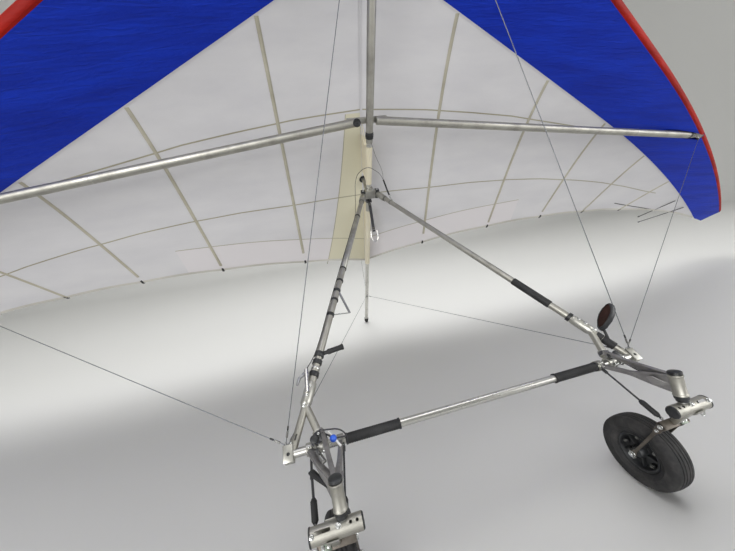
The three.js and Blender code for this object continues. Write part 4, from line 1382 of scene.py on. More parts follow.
# Fork of two legs: shares are places on the line of the downtube
legs = dict(
    socketFrom=0.865, socketSeat=0.9005, socketTo=0.92, slot=0.973, slotHole=(5, 22, 16),
    slotPlug=(4.6, 7, 15.4), foot=(618, 652, 22), clampX=(626, 644), clamp=(13, 9, 20),
    socketBolts=(0.876, 0.893), legBolt=0.915,
)


def makeLowerLegs():
    start, stop = onLine(legs["socketFrom"]), onLine(legs["socketTo"])
    length = (stop - start).length
    seat = (onLine(legs["socketSeat"]) - start).length
    socket = turned([(17.3, 0), (20.5, 0), (21.5, 2), (21.5, 9), (23, 11), (23, seat), (23, seat + 14),
                     (21, seat + 20), (15, length), (0, length), (0, seat), (17.3, seat)], start, stop,
                    "plate", 40)
    outer = rod(onLine(tubes["legFrom"]), onLine(1), tubes["leg"], "tube", 40)
    cutOut(outer, cornerCutter())
    slotAt = onLine(legs["slot"])
    across = (onLine(1) - onLine(0)).normalized().cross(vec(0, 1, 0))
    cutOut(outer, block(legs["slotHole"], slotAt - vec(0, 8, 0), "black", (0, -1, 0), across, 1.5))
    slot = block(legs["slotPlug"], slotAt - vec(0, 7.6, 0), "black", (0, -1, 0), across, 0.6)
    inner = rod(legTop, innerFoot, tubes["leg"], "tube", 40)
    cutOut(inner, barCutter())
    first, last, radius = legs["foot"]
    parts = [socket, outer, slot, inner,
             ring(onBar(first), onBar(last), radius, tubes["bar"] + 0.4, "plate", 40)]
    for x in legs["clampX"]:
        parts += [block(legs["clamp"], (x, barY + 22, barZ - 6), "plate", soft=1.5),
                  bolt((x, barY + 22, barZ - 15.5), (0, 0, -1), 0.7)]
    for share in legs["socketBolts"]:
        parts.append(bolt(onLine(share) + vec(0, -22.6, -1), (0, -1, 0), 0.75))
    parts.append(bolt(onLine(legs["legBolt"]) + vec(2, -18, 0), (0, -1, 0), 0.9))
    finishedPair(parts, "lowerLegs", replaces=("lower_leg_*",))


# Base bar, and a foam grip with shallow rings: radii of its bore, groove, ring and ends
baseBar = dict(half=762, grip=(345, 555), gripEnd=19.5, gripLow=17.6, gripHigh=18, bore=15.2, rings=9)


def makeBaseBar():
    half = baseBar["half"]
    finished(tube(onBar(-half), onBar(half), tubes["bar"], tubes["wall"], "bright", 14, 48), "baseBar",
             replaces=("base_bar",))
    first, last = baseBar["grip"]
    bore, low, high, end = (baseBar[k] for k in ("bore", "gripLow", "gripHigh", "gripEnd"))
    outline = [(bore, first), (end, first), (end, first + 6), (low, first + 8)]
    for x in range(first + 15, last - 9, baseBar["rings"]):
        outline += [(low, x - 2.4), (high, x - 1), (high, x + 4), (low, x + 5.4)]
    outline += [(low, last - 6), (end, last - 4), (end, last), (bore, last)]
    grip = turned(outline, onBar(0), onBar(100), "rubber", 40, 0)
    finishedPair(grip, "baseBarGrip", replaces=("base_bar_grip_*",))


def makeCornerBlocks():
    half, top, plugX = cornerBox["half"], cornerBox["top"], cornerBox["plugX"]
    size = cornerBox["x"][1] - cornerBox["x"][0], 2 * half, cornerBox["height"]
    piece = block(size, cornerPlace(), "plate", soft=3)
    cutOut(piece, rod(onBar(700), onBar(baseBar["half"] + 0.6), tubes["bar"] + 0.4, "plate", 40),
           rod(onBar(755), onBar(800), 9, "black", 32),
           rod((plugX, barY - 40, barZ), (plugX, barY - 15.6, barZ), cornerBox["plugRadius"], "black", 28))
    plug = rod((plugX, barY - 16.2, barZ), (plugX, barY - 12, barZ), cornerBox["plugRadius"] + 0.4,
               "black", 28)
    parts = [piece, plug, block(cornerBox["tang"], (760, barY, top + 0.9), "steel", soft=0.8)]
    for y in (-cornerBox["eyeApart"], 0, cornerBox["eyeApart"]):
        parts.append(bead((cornerBox["eyeX"], barY + y, top + 4), (1, 0, 0), 4.6, 1.7, "bolt"))
    parts += [bolt((750, barY - 4, top + 2.2), (0, 0, 1), 0.75),
              bolt((760, barY + half, -1811), (0, 1, 0), 0.8)]
    finishedPair(parts, "cornerBlock", replaces=("corner_block_*",))


makeDowntubes()
makeHandle()
makeApex()
makeLowerLegs()
makeBaseBar()
makeCornerBlocks()
print("control frame made")

# Landing gear: outrigger with its head tube, and a caster that trails the wheel
rake = math.radians(head["rake"])
headAxis = vec(0, math.sin(rake), -math.cos(rake))
bungeeKnot = vec(682, 1741, -1872)


def headAt(down):
    return head["place"] + headAxis * down


def otherHalf(outline):
    # The mirror image of half an outline, in the order that closes it
    return [(x, -y) for x, y in reversed(outline)]


# Arms are (root x, root y, root z, half height at the root, place on the head); y and z from the base bar
outrigger = dict(
    arms=((686, -18, -8, 31, -1), (634, -16, 42, 22, -12), (574, -18, -8, 31, -1)), armThick=15,
    rim=4,
    recess=3, gusset=((-9, -14), (-17, -0.52), (0, -0.46), (26, -0.46), (51, -0.52), (14, -14)),
    gussetHole=(0.3, 12, 6), web=[(15, -30), (15, -6), (62, 20), (80, 13), (70, -14), (46, -22)],
    bumper=[(0, 0), (8, 0), (10.5, 4), (10.5, 22), (5, 140), (4, 152), (0, 152)], cordRadius=4.4,
    clamps=((562, 586), (674, 698)), clamp=(20, 10, 15), boltsZ=(-19, 17),
    legRing=(0.18, 0.34, 20.5),
)


def makeArm(x, y, z, rise, at):
    root, tip = vec(x, barY + y, barZ + z), headAt(at)
    length = (root - tip).length
    upper = [(length, 8.5), (length * 0.6, 8), (length * 0.52, 10.5), (length * 0.3, rise * 0.72), (15, rise)]
    broad = (root - tip).cross(headAxis)
    bar = plate(otherHalf(upper) + upper, outrigger["armThick"], tip, broad, root - tip, "cast", 0)
    return cutOut(recessed(bar, outrigger["rim"], outrigger["recess"]), barCutter())


def makeGusset(along, up):
    # A plate between the arms with a hole through it. Its outline's small y values are shares of the arm's
    # length.
    outline = [(x, y if y < -1 else y * along.length) for x, y in outrigger["gusset"]]
    gusset = plate(outline, 7, headAt(0), up, (1, 0, 0), "cast", 0.8)
    share, x, radius = outrigger["gussetHole"]
    hole = headAt(0) + along * share + vec(x, 0, 0)
    return cutOut(gusset, rod(hole - up * 10, hole + up * 10, radius, "cast", 24))


def makeHeadTube():
    half, bore, radius = head["half"], head["stem"] + 0.8, head["radius"]
    lower = [(bore, -half), (radius + 2, -half), (radius + 2, 6 - half), (radius, 8 - half)]
    return turned(lower + otherHalf(lower), headAt(0), headAt(1), "tube", 48)


def makeOutrigger():
    parts = [makeArm(*row) for row in outrigger["arms"]]
    along = vec(0, barY - 18, barZ - 8) - vec(0, *headAt(0).yz)
    up = along.cross(vec(1, 0, 0)).normalized()
    parts += [makeGusset(along, up),
              plate(outrigger["web"], 6, headAt(0), (0.93, 0, 0.36), along, "cast", 0.8),
              turned(outrigger["bumper"], bungeeKnot, headAt(2) + vec(15, 25, 19), "rubber", 28),
              rod((bungeeKnot.x, barY - 12, barZ - 12), bungeeKnot, outrigger["cordRadius"], "cord", 16, 0),
              bead(bungeeKnot, (0, 0.4, -1), 7, 4, "rubber"), makeHeadTube()]
    for first, last in outrigger["clamps"]:
        x = (first + last) / 2
        parts += [ring(onBar(first), onBar(last), 21.5, tubes["bar"] + 0.4, "plate", 40),
                  block(outrigger["clamp"], (x, barY - 21, barZ - 5), "plate", soft=1.5)]
        for z in outrigger["boltsZ"]:
            parts.append(bolt((x, barY - 25, barZ + z * 0.4 - 4), (0, -1, 0), 0.6))
    leg = legTop - innerFoot
    first, last, radius = outrigger["legRing"]
    parts += [ring(innerFoot + leg * first, innerFoot + leg * last, radius, tubes["leg"] + 0.3, "plate", 36),
              bolt(innerFoot + leg * 0.26 + vec(0, -20, -4), (0, -1, 0), 0.7)]
    finishedPair(parts, "outrigger", replaces=("outrigger_*",))


# U-bolts around the base bar, each tightened with a black knob that faces forward and a nut below it
uBolt = dict(
    x=(634, 664), bend=19, crown=20, tail=34, wire=2.6, plate=(10, 4, 54),
    turns=(0, 45, 90, 135, 180),
    knob=[(0, 0), (8, 0), (8, 5), (13.5, 6), (15, 8), (15, 13), (13.5, 15.5), (4, 16.5), (0, 16.5)],
)


def makeClampKnobs():
    parts = []
    bend, crown, tail = uBolt["bend"], uBolt["crown"], uBolt["tail"]
    for x in uBolt["x"]:
        turns = [math.radians(t) for t in uBolt["turns"]]
        over = [(x, barY + crown * math.sin(t), barZ + bend * math.cos(t)) for t in turns]
        route = [(x, barY - tail, barZ + bend), *over, (x, barY - tail, barZ - bend)]
        parts += [bent(route, uBolt["wire"], "bolt"),
                  block(uBolt["plate"], (x, barY - 20, barZ), "steel", soft=0.8)]
        start = vec(x, barY - 22.5, barZ + bend)
        parts += [turned(uBolt["knob"], start, (x, barY - 40, barZ + bend), "black", 32, 0.8),
                  bolt((x, barY - 22.5, barZ - bend), (0, -1, 0), 0.7)]
    finishedPair(parts, "clampKnobs")


# Cross tube under the head: its slot and round holes at the front, plug, lip, stem and shackle
cross = dict(
    start=548, end=690, radius=21.5, wall=2.2, bore=56, holes=(579, 561), holeRadius=4.2,
    slotX=(638, 655, 672), slot=(34, 9, 24), slotRadius=4.5,
    plug=[(0, -5), (17, -5), (20, -3), (21, 0), (21, 1), (0, 1)], lip=(22.4, 17.5), stem=(-39, 62),
    collar=[(13.1, 37.2), (19.5, 37.2), (19.5, 45), (17, 49), (16, 56), (13.1, 56)],
    shackle=((-7, 0, 0), (-7, 10, -12), (0, 14, -18), (7, 10, -12), (7, 0, 0)), shackleX=672,
)
casterCap = [(0, 39.4), (19.5, 39.4), (19.5, 43.4), (18.9, 43.9), (19.5, 44.4), (19.5, 46), (17.5, 48),
             (10, 49.2), (0, 49.5)]


def makeCaster():
    y, z = headAt(head["tubeDrop"]).yz
    first, last, radius = cross["start"], cross["end"], cross["radius"]
    body = tube((first, y, z), (last, y, z), radius, cross["wall"], "tube", cross["bore"], 48)
    front = vec(0, -1, 0.25).normalized()
    for x in cross["holes"]:
        start = vec(x, y, z)
        cutOut(body, rod(start, start + front * 40, cross["holeRadius"], "black", 20, 0))
    slotLeft, slotMiddle, slotRight = (vec(x, y, z) for x in cross["slotX"])
    cutOut(body, block(cross["slot"], slotMiddle + front * 22, "black", front, (1, 0, 0), 0.01))
    for end in (slotLeft, slotRight):
        cutOut(body, rod(end + front * 10, end + front * 40, cross["slotRadius"], "black", 24, 0))
    plug = turned(cross["plug"], (first, y, z), (last, y, z), "black", 40)
    lip = ring((last - 3, y, z), (last + 2, y, z), *cross["lip"], "black", 40)
    stem = rod(headAt(cross["stem"][0]), headAt(cross["stem"][1]), head["stem"], "steel", 36)
    cutOut(stem, rod((first - 20, y, z), (last + 20, y, z), radius - 1, "steel", 40))
    collar = turned(cross["collar"], headAt(0), headAt(1), "black", 40)
    shackle = vec(cross["shackleX"], y + 12, z - 17)
    parts = [body, plug, lip, stem, collar,
             bent([shackle + Vector(point) for point in cross["shackle"]], 2.4, "bolt"),
             bolt(vec(612, y, z) + front * (radius + 0.1), front, 0.9),
             bolt((683, y - radius, z), (0, -1, 0), 0.8)]
    finishedPair(parts, "casterTube", "caster_*", ("caster_tube_*",))
    cap = turned(casterCap, headAt(0), headAt(-1), "black", 40, 0.3)
    finishedPair(cap, "casterCap", "caster_*", ("caster_cap_*",))


# Wheel fork: crown, beam up to the cross tube, two blades and an angle bracket at the front
fork = dict(
    crown=vec(632, 1749, -2052), crownSize=(116, 16, 30), beam=(12, 10),
    blades=((574, 580), (684, 690)),
    bladeThick=6, eye=11.5, hole=6.4, bracket=(30, 4, 34), flange=(30, 22, 4),
    bracketBolts=(22, 38),
)


def bladeOutline(length):
    # An eye round the axle, a slender blade and a broad head, along x from the axle
    lower = [(30, -4.8), (length * 0.76, -5.4), (length * 0.86, -11), (length + 8, -12)]
    return arc(0, 0, fork["eye"], 60, 300, 14) + lower + otherHalf(lower)


def makeFork():
    y, z = headAt(head["tubeDrop"]).yz
    middle, crown = wheelCentre.x, fork["crown"]
    parts = [block(fork["crownSize"], crown, "fork", soft=2)]
    beam = arm(vec(middle, y, z - 8), crown + vec(0, -4, 0), fork["beam"], fork["beam"], (0, 0, 1), "plate")
    parts.append(cutOut(beam, rod((540, y, z), (700, y, z), cross["radius"] + 0.4, "plate", 48)))
    saddle = turned([(22, -16), (26, -16), (26, 16), (22, 16)], (middle, y, z), (middle + 1, y, z),
                    "plate", 48)
    parts.append(cutOut(saddle, block((60, 60, 60), (middle, y - 26, z + 10), "plate", soft=0.01)))
    hub = vec(0, *wheelCentre.yz)
    reach = vec(0, *crown.yz) - hub
    length = reach.length
    for low, high in fork["blades"]:
        blade = plate(bladeOutline(length), fork["bladeThick"], ((low + high) / 2, *wheelCentre.yz),
                      (1, 0, 0), reach, "fork", 0.7)
        cutOut(blade, rod((low - 9, *wheelCentre.yz), (high + 9, *wheelCentre.yz), fork["hole"], "steel", 28))
        parts.append(blade)
        out, face = (1, high) if low > middle else (-1, low)
        for along, size in ((length - 4, 0.95), (length * 0.86, 0.7)):
            place = hub + reach.normalized() * along
            parts.append(bolt((face, *place.yz), (out, 0, 0), size))
    parts += [block(fork["bracket"], crown + vec(30, -10, 2), "olive", soft=1),
              block(fork["flange"], crown + vec(30, -19, 17), "olive", soft=1)]
    for x in fork["bracketBolts"]:
        parts.append(bolt(crown + vec(x, -12.2, -4), (0, -1, 0), 0.6))
    finishedPair(parts, "wheelFork", "caster_*", ("wheel_fork_*",))


# Damper beside the fork: its outline along the line from start to end, and an eye at both ends
damper = dict(
    profile=[(0, 0), (7, 0), (7, 42), (3.2, 45), (3.2, 82), (0, 82)], start=(650, 1749, -2034),
    end=(660, 1668, -2026),
    eyes=(((650, 1751, -2034), 6, 3, "black"), ((660, 1666, -2026), 5, 2.6, "bolt")),
)
axle = dict(radius=6, start=561.7, end=702.3, nuts=((573.6, -1), (690.4, 1)))


def makeDamperAndAxle():
    eyes = [bead(place, (1, 0, 0), radius, wire, material) for place, radius, wire,
            material in damper["eyes"]]
    body = turned(damper["profile"], damper["start"], damper["end"], "black", 28)
    finishedPair([body, *eyes], "casterDamper", "caster_*")
    y, z = wheelCentre.yz
    parts = [rod((axle["start"], y, z), (axle["end"], y, z), axle["radius"], "bolt", 32)]
    parts += [bolt((x, y, z), (out, 0, 0), 1.35) for x, out in axle["nuts"]]
    finishedPair(parts, "wheelAxle", "caster_*", ("wheel_axle_*",))


# Wheel: half outlines as (radius, height), mirrored about the middle of the wheel
wheel = dict(
    hub=[(6.7, -38), (17, -38), (19, -36), (24, -22), (24, -6), (58, -4), (63, -12), (66, -30), (71, -32),
         (75.2, -31)],
    spokes=5, spoke=(36, 8, 46), spokeAt=42, bossAt=55, boss=(17, 9.5), firstTurn=0.35,
    valveTurn=2.2, valveAt=60, valve=(30, 3.4),
    tyre=[(75.6, -30), (79, -33), (80, -36), (88, -40), (94, -42.2), (95, -43.6), (97, -43.8), (98.5, -43.2),
          (106, -45), (114, -46), (121, -45), (127, -42), (131, -38.5), (133.5, -36.5), (134.5, -35)],
    shoulder=(136.2, -32.5), ribs=((-31, -22), (-18.5, -9.5), (-6, 6), (9.5, 18.5), (22, 31)),
    crown=139.3, crownDrop=2.6, crownHalf=31, groove=3.2,
)


def makeHub():
    start, end = wheelCentre, wheelCentre + vec(1, 0, 0)
    parts = [turned(wheel["hub"] + otherHalf(wheel["hub"]), start, end, "black", 60)]
    reach, radius = wheel["boss"]
    for i in range(wheel["spokes"]):
        turn = 2 * math.pi * i / wheel["spokes"] + wheel["firstTurn"]
        spoke = vec(0, math.cos(turn), math.sin(turn))
        parts.append(block(wheel["spoke"], start + spoke * wheel["spokeAt"], "black", spoke, (1, 0, 0), 2))
        turn += math.pi / wheel["spokes"]
        boss = start + vec(0, math.cos(turn), math.sin(turn)) * wheel["bossAt"]
        for out in (1, -1):
            face = boss + vec(out * reach, 0, 0)
            parts += [rod(boss, face, radius, "black", 24, 1.5), bolt(face, (out, 0, 0), 0.8, "steel")]
    turn = wheel["valveTurn"]
    valve = start + vec(0, math.cos(turn), math.sin(turn)) * wheel["valveAt"]
    parts.append(rod(valve, valve + vec(wheel["valve"][0], 0, 0), wheel["valve"][1], "black", 16, 0.8))
    finishedPair(parts, "wheelHub", "wheel_*", ("wheel_hub_*",))


def makeTyre():
    def crownAt(height):
        return wheel["crown"] - wheel["crownDrop"] * (abs(height) / wheel["crownHalf"]) ** 2.2

    tread, groove = [], wheel["groove"]
    for low, high in wheel["ribs"]:
        tread += [(crownAt(low) - groove, low - 0.4), (crownAt(low), low + 0.6), (crownAt(high), high - 0.6),
                  (crownAt(high) - groove, high + 0.4)]
    side = wheel["tyre"] + [wheel["shoulder"]]
    tyre = turned(side + tread[1:-1] + otherHalf(side), wheelCentre, wheelCentre + vec(1, 0, 0),
                  "tyre", 90, 0)
    finishedPair(tyre, "tyre", "wheel_*", ("tyre_*",), 50)


# Elastic cords that pull each caster straight: start on the frame, end on the caster, radius
bungees = {
    "innerBungee": (vec(566, barY - 14, barZ - 18), vec(600, 1747, -2030), 3.6),
    "outerBungee": (bungeeKnot, vec(676, 1664, -2006), 4.4),
}
bungeeEnd = dict(start=74, end=6, radius=10, lip=9, bead=(4, 22, 6.4), bore=4.5)


def makeBungees():
    for name, (start, end, radius) in bungees.items():
        along = (end - start).normalized()
        cord = rod(start, end, radius, "cord", 16, 0)
        modified(cord, "WELD", merge_threshold=0.00001)
        boot = capped(end - along * bungeeEnd["start"], end - along * bungeeEnd["end"], bungeeEnd["radius"],
                      bungeeEnd["bore"], "rubber", bungeeEnd["lip"])
        first, last, outer = bungeeEnd["bead"]
        knot = capped(start + along * first, start + along * last, outer, bungeeEnd["bore"], "black", 2)
        left = joined(cord, boot, knot)
        for word, side, one in (("left", 1, left), ("right", -1, mirrored(left))):
            finished(one, name + word.capitalize(), None)
            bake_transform(one)
        half = vec(4, 0, 0)
        hook = joined(bead(start, (1, 0, 0), 5, 2.2, "bolt"), ring(start - half, start + half, 7, 5, "black"))
        finishedPair(hook, name + "Hook")
        finishedPair(bead(end, (1, 0, 0), 5, 2.2, "bolt"), name + "Eye", "caster_*")


makeOutrigger()
makeClampKnobs()
makeCaster()
makeFork()
makeDamperAndAxle()
makeHub()
makeTyre()
makeBungees()
print("landing gear made")

# Mirror on the glider's left inner leg: half outline as (x, y), its arm's end on the leg, and rubber wraps
mirror = dict(
    foot=vec(730, 1800, -1645), along=vec(0.666, -0.413, 0.621), facing=vec(-0.97, -0.02, 0.2),
    half=[(0, -77), (20, -58), (34, -22), (38, 14), (30, 46), (14, 70), (0, 77)], thick=22, rim=5,
    recess=3, glass=(0.8, 0.88, 1.6), armAt=0.952, armShift=vec(14, 0, 8), arm=6, ball=10,
    band=(0.94, 0.968, 3.6), wrap=(0.925, 0.9395, 3),
)


def legWrap(first, last, thick):
    leg = tubes["leg"]
    return capped(onLine(first), onLine(last), leg + thick, leg + 0.3, "rubber", 1.5)


def makeMirror():
    long = mirror["along"].normalized()
    facing = mirror["facing"]
    facing = (facing - long * facing.dot(long)).normalized()
    wide = long.cross(facing)
    half, thick = mirror["half"], mirror["thick"]
    centre = mirror["foot"] + long * half[-1][1]
    outline = half + [(-x, y) for x, y in reversed(half[1:-1])]
    shell = plate(outline, thick, centre - facing * thick / 2, facing, wide, "black", 4)
    sunk(shell, facing, 0.99, mirror["rim"], mirror["recess"])
    acrossShare, alongShare, glassThick = mirror["glass"]
    # The glass carries the painted reflection tint of its material
    glass = plate([(x * acrossShare, y * alongShare) for x, y in outline], glassThick, centre - facing * 1.9,
                  facing, wide, "glass", 0.4)
    back = centre - long * 55 - facing * 14
    stem = rod(back, onLine(mirror["armAt"]) + mirror["armShift"], mirror["arm"], "black", 24, 1.5)
    ball = turned(arc(0, 0, mirror["ball"], -90, 90, 8), back, back + facing, "black", 24, 0)
    band = legWrap(*mirror["band"])
    cutOut(stem, rod(onLine(0.9), onLine(1), tubes["leg"] + 0.4, "black", 40))
    finished([shell, glass, stem, ball, band], "mirror", replaces=("mirror_shell",))
    finished(legWrap(*mirror["wrap"]), "mirrorWrap")


# Release lever on the glider's right downtube, whose cable runs along the tube and then in a loose bow to the
# bridle below the keel. The cable's places on the tube are (share of its line, times its usual distance).
lever = dict(
    side=vec(-34, -16, 0), pivot=0.838, bridge=0.846, clamp=(0.84, 0.852, 22),
    rod=((-668, 1786, -1500), (-671, 1769, -1606), 9), knee=vec(-30, -10, -26),
    tip=vec(-42, -14, -56),
)
cable = dict(
    near=vec(-16, -15, 0),
    onTube=((0.78, 1.05), (0.66, 1.08), (0.52, 1.08), (0.4, 1), (0.28, 1), (0.21, 1)),
    bow=[(-168, 1876, -240), (-140, 1840, -110), (-120, 1770, -50), (-90, 1690, -76), (-30, 1655, -96),
         (20, 1680, -100), (66, 1722, -92), (98, 1775, -90)],
)
bridle = dict(
    line=[(98, 1775, -90), (112, 1812, -104), (124, 1850, -134), (132, 1872, -166)],
    cord=[(6, 1500, -24), (40, 1600, -60), (84, 1700, -84), (98, 1775, -90)],
    collar=(0.115, 0.121, 19.5),
)


def makeReleaseLever():
    pivot, bridge = onLine(lever["pivot"], -1) + lever["side"], onLine(lever["bridge"], -1)
    knee, tip = pivot + lever["knee"], pivot + lever["tip"]
    first, last, outer = lever["clamp"]
    start, end, radius = lever["rod"]
    spindle = rod(bridge, bridge + lever["side"] * 1.1, 7, "bolt", 24)
    parts = [capped(start, end, radius, 0.1, "bright", 1.5),
             capped(onLine(first, -1), onLine(last, -1), outer, tubes["down"] + 0.3, "black", 1.5),
             cutOut(spindle, rod(onLine(0.7, -1), onLine(0.9, -1), tubes["down"] + 0.4, "tube", 40)),
             arm(pivot, knee, (7, 4.5), (6, 4), (0, 1, 0), "grey", 2),
             arm(knee + vec(1, 0, 2), tip, (6, 4), (4.5, 3), (0, 1, 0), "grey", 2),
             rod(pivot + vec(0, 8, 0), pivot - vec(0, 12, 0), 9, "bolt", 28)]
    finished(parts, "releaseLever", replaces=("release_lever",))


def makeReleaseCable():
    route = [onLine(lever["pivot"], -1) + lever["side"] + vec(2, -10, 6), onLine(0.81, -1) + vec(-22, -20, 0)]
    route += [onLine(share, -1) + cable["near"] * away for share, away in cable["onTube"]]
    finished(bent(route + cable["bow"], 1.9, "black"), "releaseCable")
    first, last, outer = bridle["collar"]
    parts = [bent(bridle["line"], 6.5, "rubber"), bead((136, 1880, -178), (0.5, 1, 0), 8, 2.4, "bolt"),
             rod((137, 1884, -186), (139, 1889, -212), 4, "bolt", 20),
             bead((139, 1891, -222), (1, 0.4, 0), 9, 2.6, "bolt"),
             capped(onLine(first), onLine(last), outer, tubes["down"] + 0.2, "steel", 1)]
    finished(parts, "releaseBridle")
    finished(bent(bridle["cord"], 1.2, "black"), "bridleCord")


# Things tied to the foot of the glider's right inner leg: a strap, a blue ball on two cords, a cane and a peg
toggle = dict(
    strap=(0.2, 0.3, 21.8, 20.6), ball=(-597, 1742, -1793), radius=12.5,
    collar=(-556, -548, 19.5, 15.2),
    cords=(
        (3, [(-632, 1768, -1762), (-612, 1750, -1778), (-597, 1742, -1791), (-572, 1750, -1794),
             (-552, 1774, -1790)]),
        (2.6, [(-632, 1768, -1752), (-604, 1742, -1762), (-580, 1738, -1768), (-562, 1752, -1776),
               (-551, 1776, -1788)]),
    ),
    cane=((-612, 1764, -1762), (-575, 1735, -1823)), pegAxis=vec(-25, 25, 44),
    peg=((16, 9, 62), (-650, 1752, -1832)), groove=((5, 12, 30), (-646, 1748, -1838)),
)


def makeFootFittings():
    first, last, outer, inner = toggle["strap"]
    strap = capped(innerFoot.lerp(legTop, first), innerFoot.lerp(legTop, last), outer, inner, "webbing", 1)
    finishedPair(strap, "legStrap")
    ball = Vector(toggle["ball"])
    parts = [turned(arc(0, 0, toggle["radius"], -90, 90, 14), ball, ball - vec(0, 10, 0), "blueBall", 32, 0)]
    parts += [bent(line, radius, "cord") for radius, line in toggle["cords"]]
    first, last, outer, inner = toggle["collar"]
    parts += [ring(onBar(first), onBar(last), outer, inner, "cord"),
              rod(*toggle["cane"], 4, "gloss", 20, 1.5)]
    peg = block(*toggle["peg"], "steel", toggle["pegAxis"], soft=1.5)
    parts.append(cutOut(peg, block(*toggle["groove"], "black", toggle["pegAxis"], soft=1)))
    finished(parts, "footToggle")


makeMirror()
makeReleaseLever()
makeReleaseCable()
makeFootFittings()
print("small controls made")

# Hang point: a webbing ring on the keel, its pin, and the strap that swings on it. The glider rests on its
# wheels and keel end, which gives the way down in its own frame.
tyreRadius = 139.326
toKeelEnd = vec(0, keel["rear"] + endCap["gap"] - wheelCentre.y, -wheelCentre.z)
pitch = math.atan2(toKeelEnd.z, toKeelEnd.y) + math.asin((tyreRadius - endCap["radius"]) / toKeelEnd.length)
downwards = vec(0, math.sin(pitch), -math.cos(pitch))
hangAt = vec(0, 1998, -35)
hangNormal = vec(1, 0, 0).cross(downwards)
hangLoop = dict(half=22, radii=(26.6, 22.4), cheekX=17.5, cheek=(7, 16, 21), pin=(20.5, 4.6), stitchHalf=17)
hangStrap = dict(
    start=7.6, end=254.8, ends=((0, 7.9, 5.6), (254.8, 8.2, 5.7)), half=12, apart=1.5,
    stitchRows=(16, 222), stitches=5, stitchStep=4, stitchHalf=9, stitchOut=2.7,
)
carabiner = dict(
    at=249.3, gate=[(5.3, 34), (7.6, 35), (7.6, 62), (5.3, 63)], gateX=28.5, pinAt=269.3,
    outline=[(-23, 5.5), (23, 5.5), (28.5, 22), (28.5, 72), (11.5, 98), (-11.5, 98), (-28.5, 72),
             (-28.5, 22)],
)


def hangingAt(distance, x=0):
    return hangAt + downwards * distance + vec(x, 0, 0)


def makeHangLoop():
    y, z = hangAt.yz
    half, apart = hangLoop["half"], hangLoop["stitchHalf"]
    parts = [ring(onKeel(y - half), onKeel(y + half), *hangLoop["radii"], "webbing", 48, 0.8)]
    for x in (hangLoop["cheekX"], -hangLoop["cheekX"]):
        parts += [block(hangLoop["cheek"], (x, y, z + 3), "webbing"), bolt((x * 1.2, y, z), (x, 0, 0), 0.5)]
    reach, radius = hangLoop["pin"]
    parts.append(rod((-reach, y, z), (reach, y, z), radius, "steel", 28))
    parts += [bead((0, place, 0), (0, 1, 0), 26.7, 0.5, "tape", 48) for place in (y - apart, y + apart)]
    finished(parts, "hangLoop", replaces=("hang_loop",))


def makeHangStrap():
    start, end, half = hangStrap["start"], hangStrap["end"], hangStrap["half"]
    middle = hangingAt((start + end) / 2)
    parts = [block((25, 2.2, end - start - 11), middle + hangNormal * s * hangStrap["apart"], "webbing",
                   downwards, (1, 0, 0), 0.6) for s in (1, -1)]
    for at, outer, inner in hangStrap["ends"]:
        parts.append(ring(hangingAt(at, -half), hangingAt(at, half), outer, inner, "webbing", 32, 0.5))
    stitch = hangStrap["stitchHalf"]
    for first in hangStrap["stitchRows"]:
        for i in range(hangStrap["stitches"]):
            at = first + hangStrap["stitchStep"] * i
            for s in (1, -1):
                out = hangNormal * s * hangStrap["stitchOut"]
                ends = hangingAt(at, -stitch) + out, hangingAt(at, stitch) + out
                parts.append(rod(*ends, 0.5, "tape", 8, 0))
    finished(parts, "hangStrap", "hanging_strap", ("hang_strap",))


def makeCarabiner():
    at, x = carabiner["at"], carabiner["gateX"]
    loop = bent([hangingAt(at + down, side) for side, down in carabiner["outline"]], 5.2, "bright", True, 8)
    gate = turned(carabiner["gate"], hangingAt(at, x), hangingAt(at + 1, x), "bolt", 28)
    place = hangingAt(carabiner["pinAt"], x)
    pin = rod(place - hangNormal * 6.6, place + hangNormal * 6.6, 2.4, "bolt", 16)
    finished([loop, gate, pin], "carabiner", "hanging_strap", ("carabiner",))


# Main stays of stranded wire, with a pressed ferrule and a black sleeve near each end
wireRadius = 1.6
wireEnds = (  # distance from the end, outline, material, steps
    (26, [(wireRadius, 0), (3.6, 1), (3.9, 4), (3.9, 20), (3.6, 23), (wireRadius, 24)], "steel", 20),
    (52, [(wireRadius, 0), (3.2, 1), (3.2, 16), (wireRadius, 17)], "black", 16),
)
luffLine = dict(radius=0.9, shift=vec(6, 8, -8), hemGap=30, button=(4, 6))


def stay(start, end):
    start, end = Vector(start), Vector(end)
    along = (end - start).normalized()
    parts = [rod(start, end, wireRadius, "wire", 12, 0)]
    for foot, out in ((start, along), (end, -along)):
        for at, outline, material, steps in wireEnds:
            parts.append(turned(outline, foot + out * at, foot + out * (at + 1), material, steps, 0.3))
    return joined(*parts)


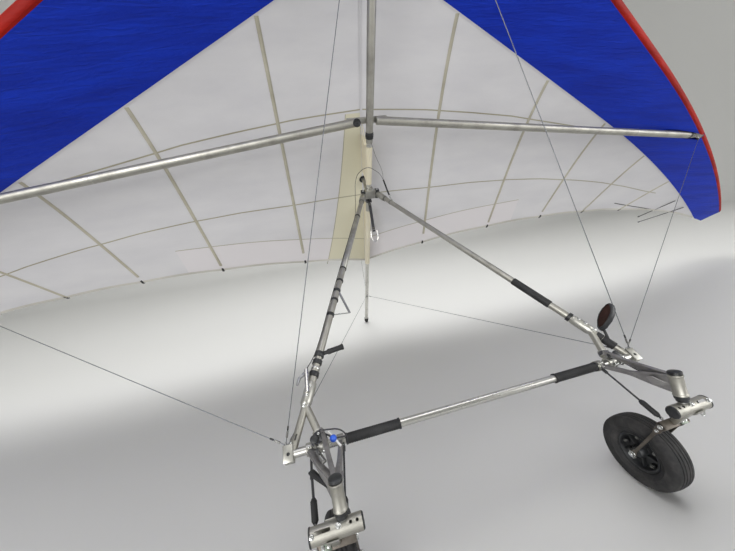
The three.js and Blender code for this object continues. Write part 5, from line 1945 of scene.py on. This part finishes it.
def makeWires():
    cornerTop = vec(cornerBox["eyeX"], barY, -1764.1)
    top = vec(0, kingpost["y"], kingpost["top"] - 20)
    apart, up = vec(0, cornerBox["eyeApart"], 0), vec(17, 0, 0)
    pairs = {
        "frontWireLower": ((18, 70, -39.9), cornerTop - apart, "front_wire_lower_*"),
        "sideWireLower": (tangFoot + vec(0, 0, -1.9), cornerTop, "side_wire_lower_*"),
        "rearWireLower": (cornerTop + apart, (10, 3380, -23.9), "rear_wire_lower_*"),
        "sideWireUpper": (upperTang, top + up, "side_wire_upper_*"),
    }
    for name, (start, end, node) in pairs.items():
        finishedPair(stay(start, end), name, replaces=(node,))
    finished(stay(*frontWire), "frontWireUpper", replaces=("front_wire_upper",))
    finished(stay(top + vec(0, 18, 0), (0, 3380, 23.9)), "rearWireUpper",
             replaces=("rear_wire_upper",))
    lines = []
    for batten in battens[:2]:
        x = batten[2]
        y = trailEdge(x) - luffLine["hemGap"]
        foot = vec(x, y, sailZ(x, y))
        radius, height = luffLine["button"]
        lines += [rod(top + luffLine["shift"], foot, luffLine["radius"], "wire", 8, 0),
                  rod(foot, foot + vec(0, 0, height), radius, "black", 14)]
    finishedPair(lines, "luffLines")


makeHangLoop()
makeHangStrap()
makeCarabiner()
makeWires()
print("rigging made")

# Studio, in metres and watts: a pale floor that curves up behind, and large soft lamps
studio = dict(floor=44, wallAt=15, curve=4, steps=12, wall=16, colour="#EFEFED", world=1.05)
lamps = (  # name, place, size, power, aim
    ("overWing", (0.5, 0.5, 8.5), 8.0, 560, (0, 0, 1.5)),
    ("frontLow", (-6.0, -10.0, 4.0), 8.0, 1300, (0, 0, 1.2)),
    ("wallWash", (0.0, 6.0, 15.0), 9.0, 220, (2.0, 17.0, 6.0)),
    ("sideRight", (10.0, -7.0, 4.0), 8.0, 800, (0.5, -0.5, 1.2)),
)


def makeFloor():
    deselectAll()
    middle = studio["wallAt"] - studio["floor"] / 2
    bpy.ops.mesh.primitive_plane_add(size=studio["floor"], location=(0, middle, 0))
    floor = applied(bpy.context.object)
    floor.name = "studioFloor"
    for edge in floor.data.edges:
        edge.select = all(floor.data.vertices[i].co.y > studio["wallAt"] - 0.1 for i in edge.vertices)
    objectMode("EDIT")
    bpy.ops.mesh.select_mode(type="EDGE")
    steps = studio["steps"]
    for step in range(steps):
        turn = math.radians(90) * (step + 0.5) / steps
        length = studio["curve"] * math.radians(90) / steps
        extrude((0, length * math.cos(turn), length * math.sin(turn)))
    extrude((0, 0, studio["wall"]))
    objectMode()
    bpy.ops.object.shade_smooth()
    material, shader = newMaterial("studioFloorPaint", Roughness=0.85)[:2]
    shader.inputs["Base Color"].default_value = toLinear(studio["colour"])
    floor.data.materials.append(material)


def makeLight():
    world = bpy.data.worlds.new("studioWorld")
    world.use_nodes = True
    background = world.node_tree.nodes["Background"]
    background.inputs[0].default_value = toLinear("#F1F2F4")
    background.inputs[1].default_value = studio["world"]
    bpy.context.scene.world = world
    for name, place, size, power, aim in lamps:
        data = bpy.data.lights.new(name, "AREA")
        data.size = size
        data.energy = power
        lamp = bpy.data.objects.new(name, data)
        lamp.location = place
        lamp.rotation_euler = (Vector(aim) - Vector(place)).to_track_quat("-Z", "Y").to_euler()
        bpy.context.scene.collection.objects.link(lamp)
    bpy.context.scene.view_settings.view_transform = "Standard"


makeFloor()
makeLight()
bpy.data.objects.remove(boltPattern)
print("studio made")
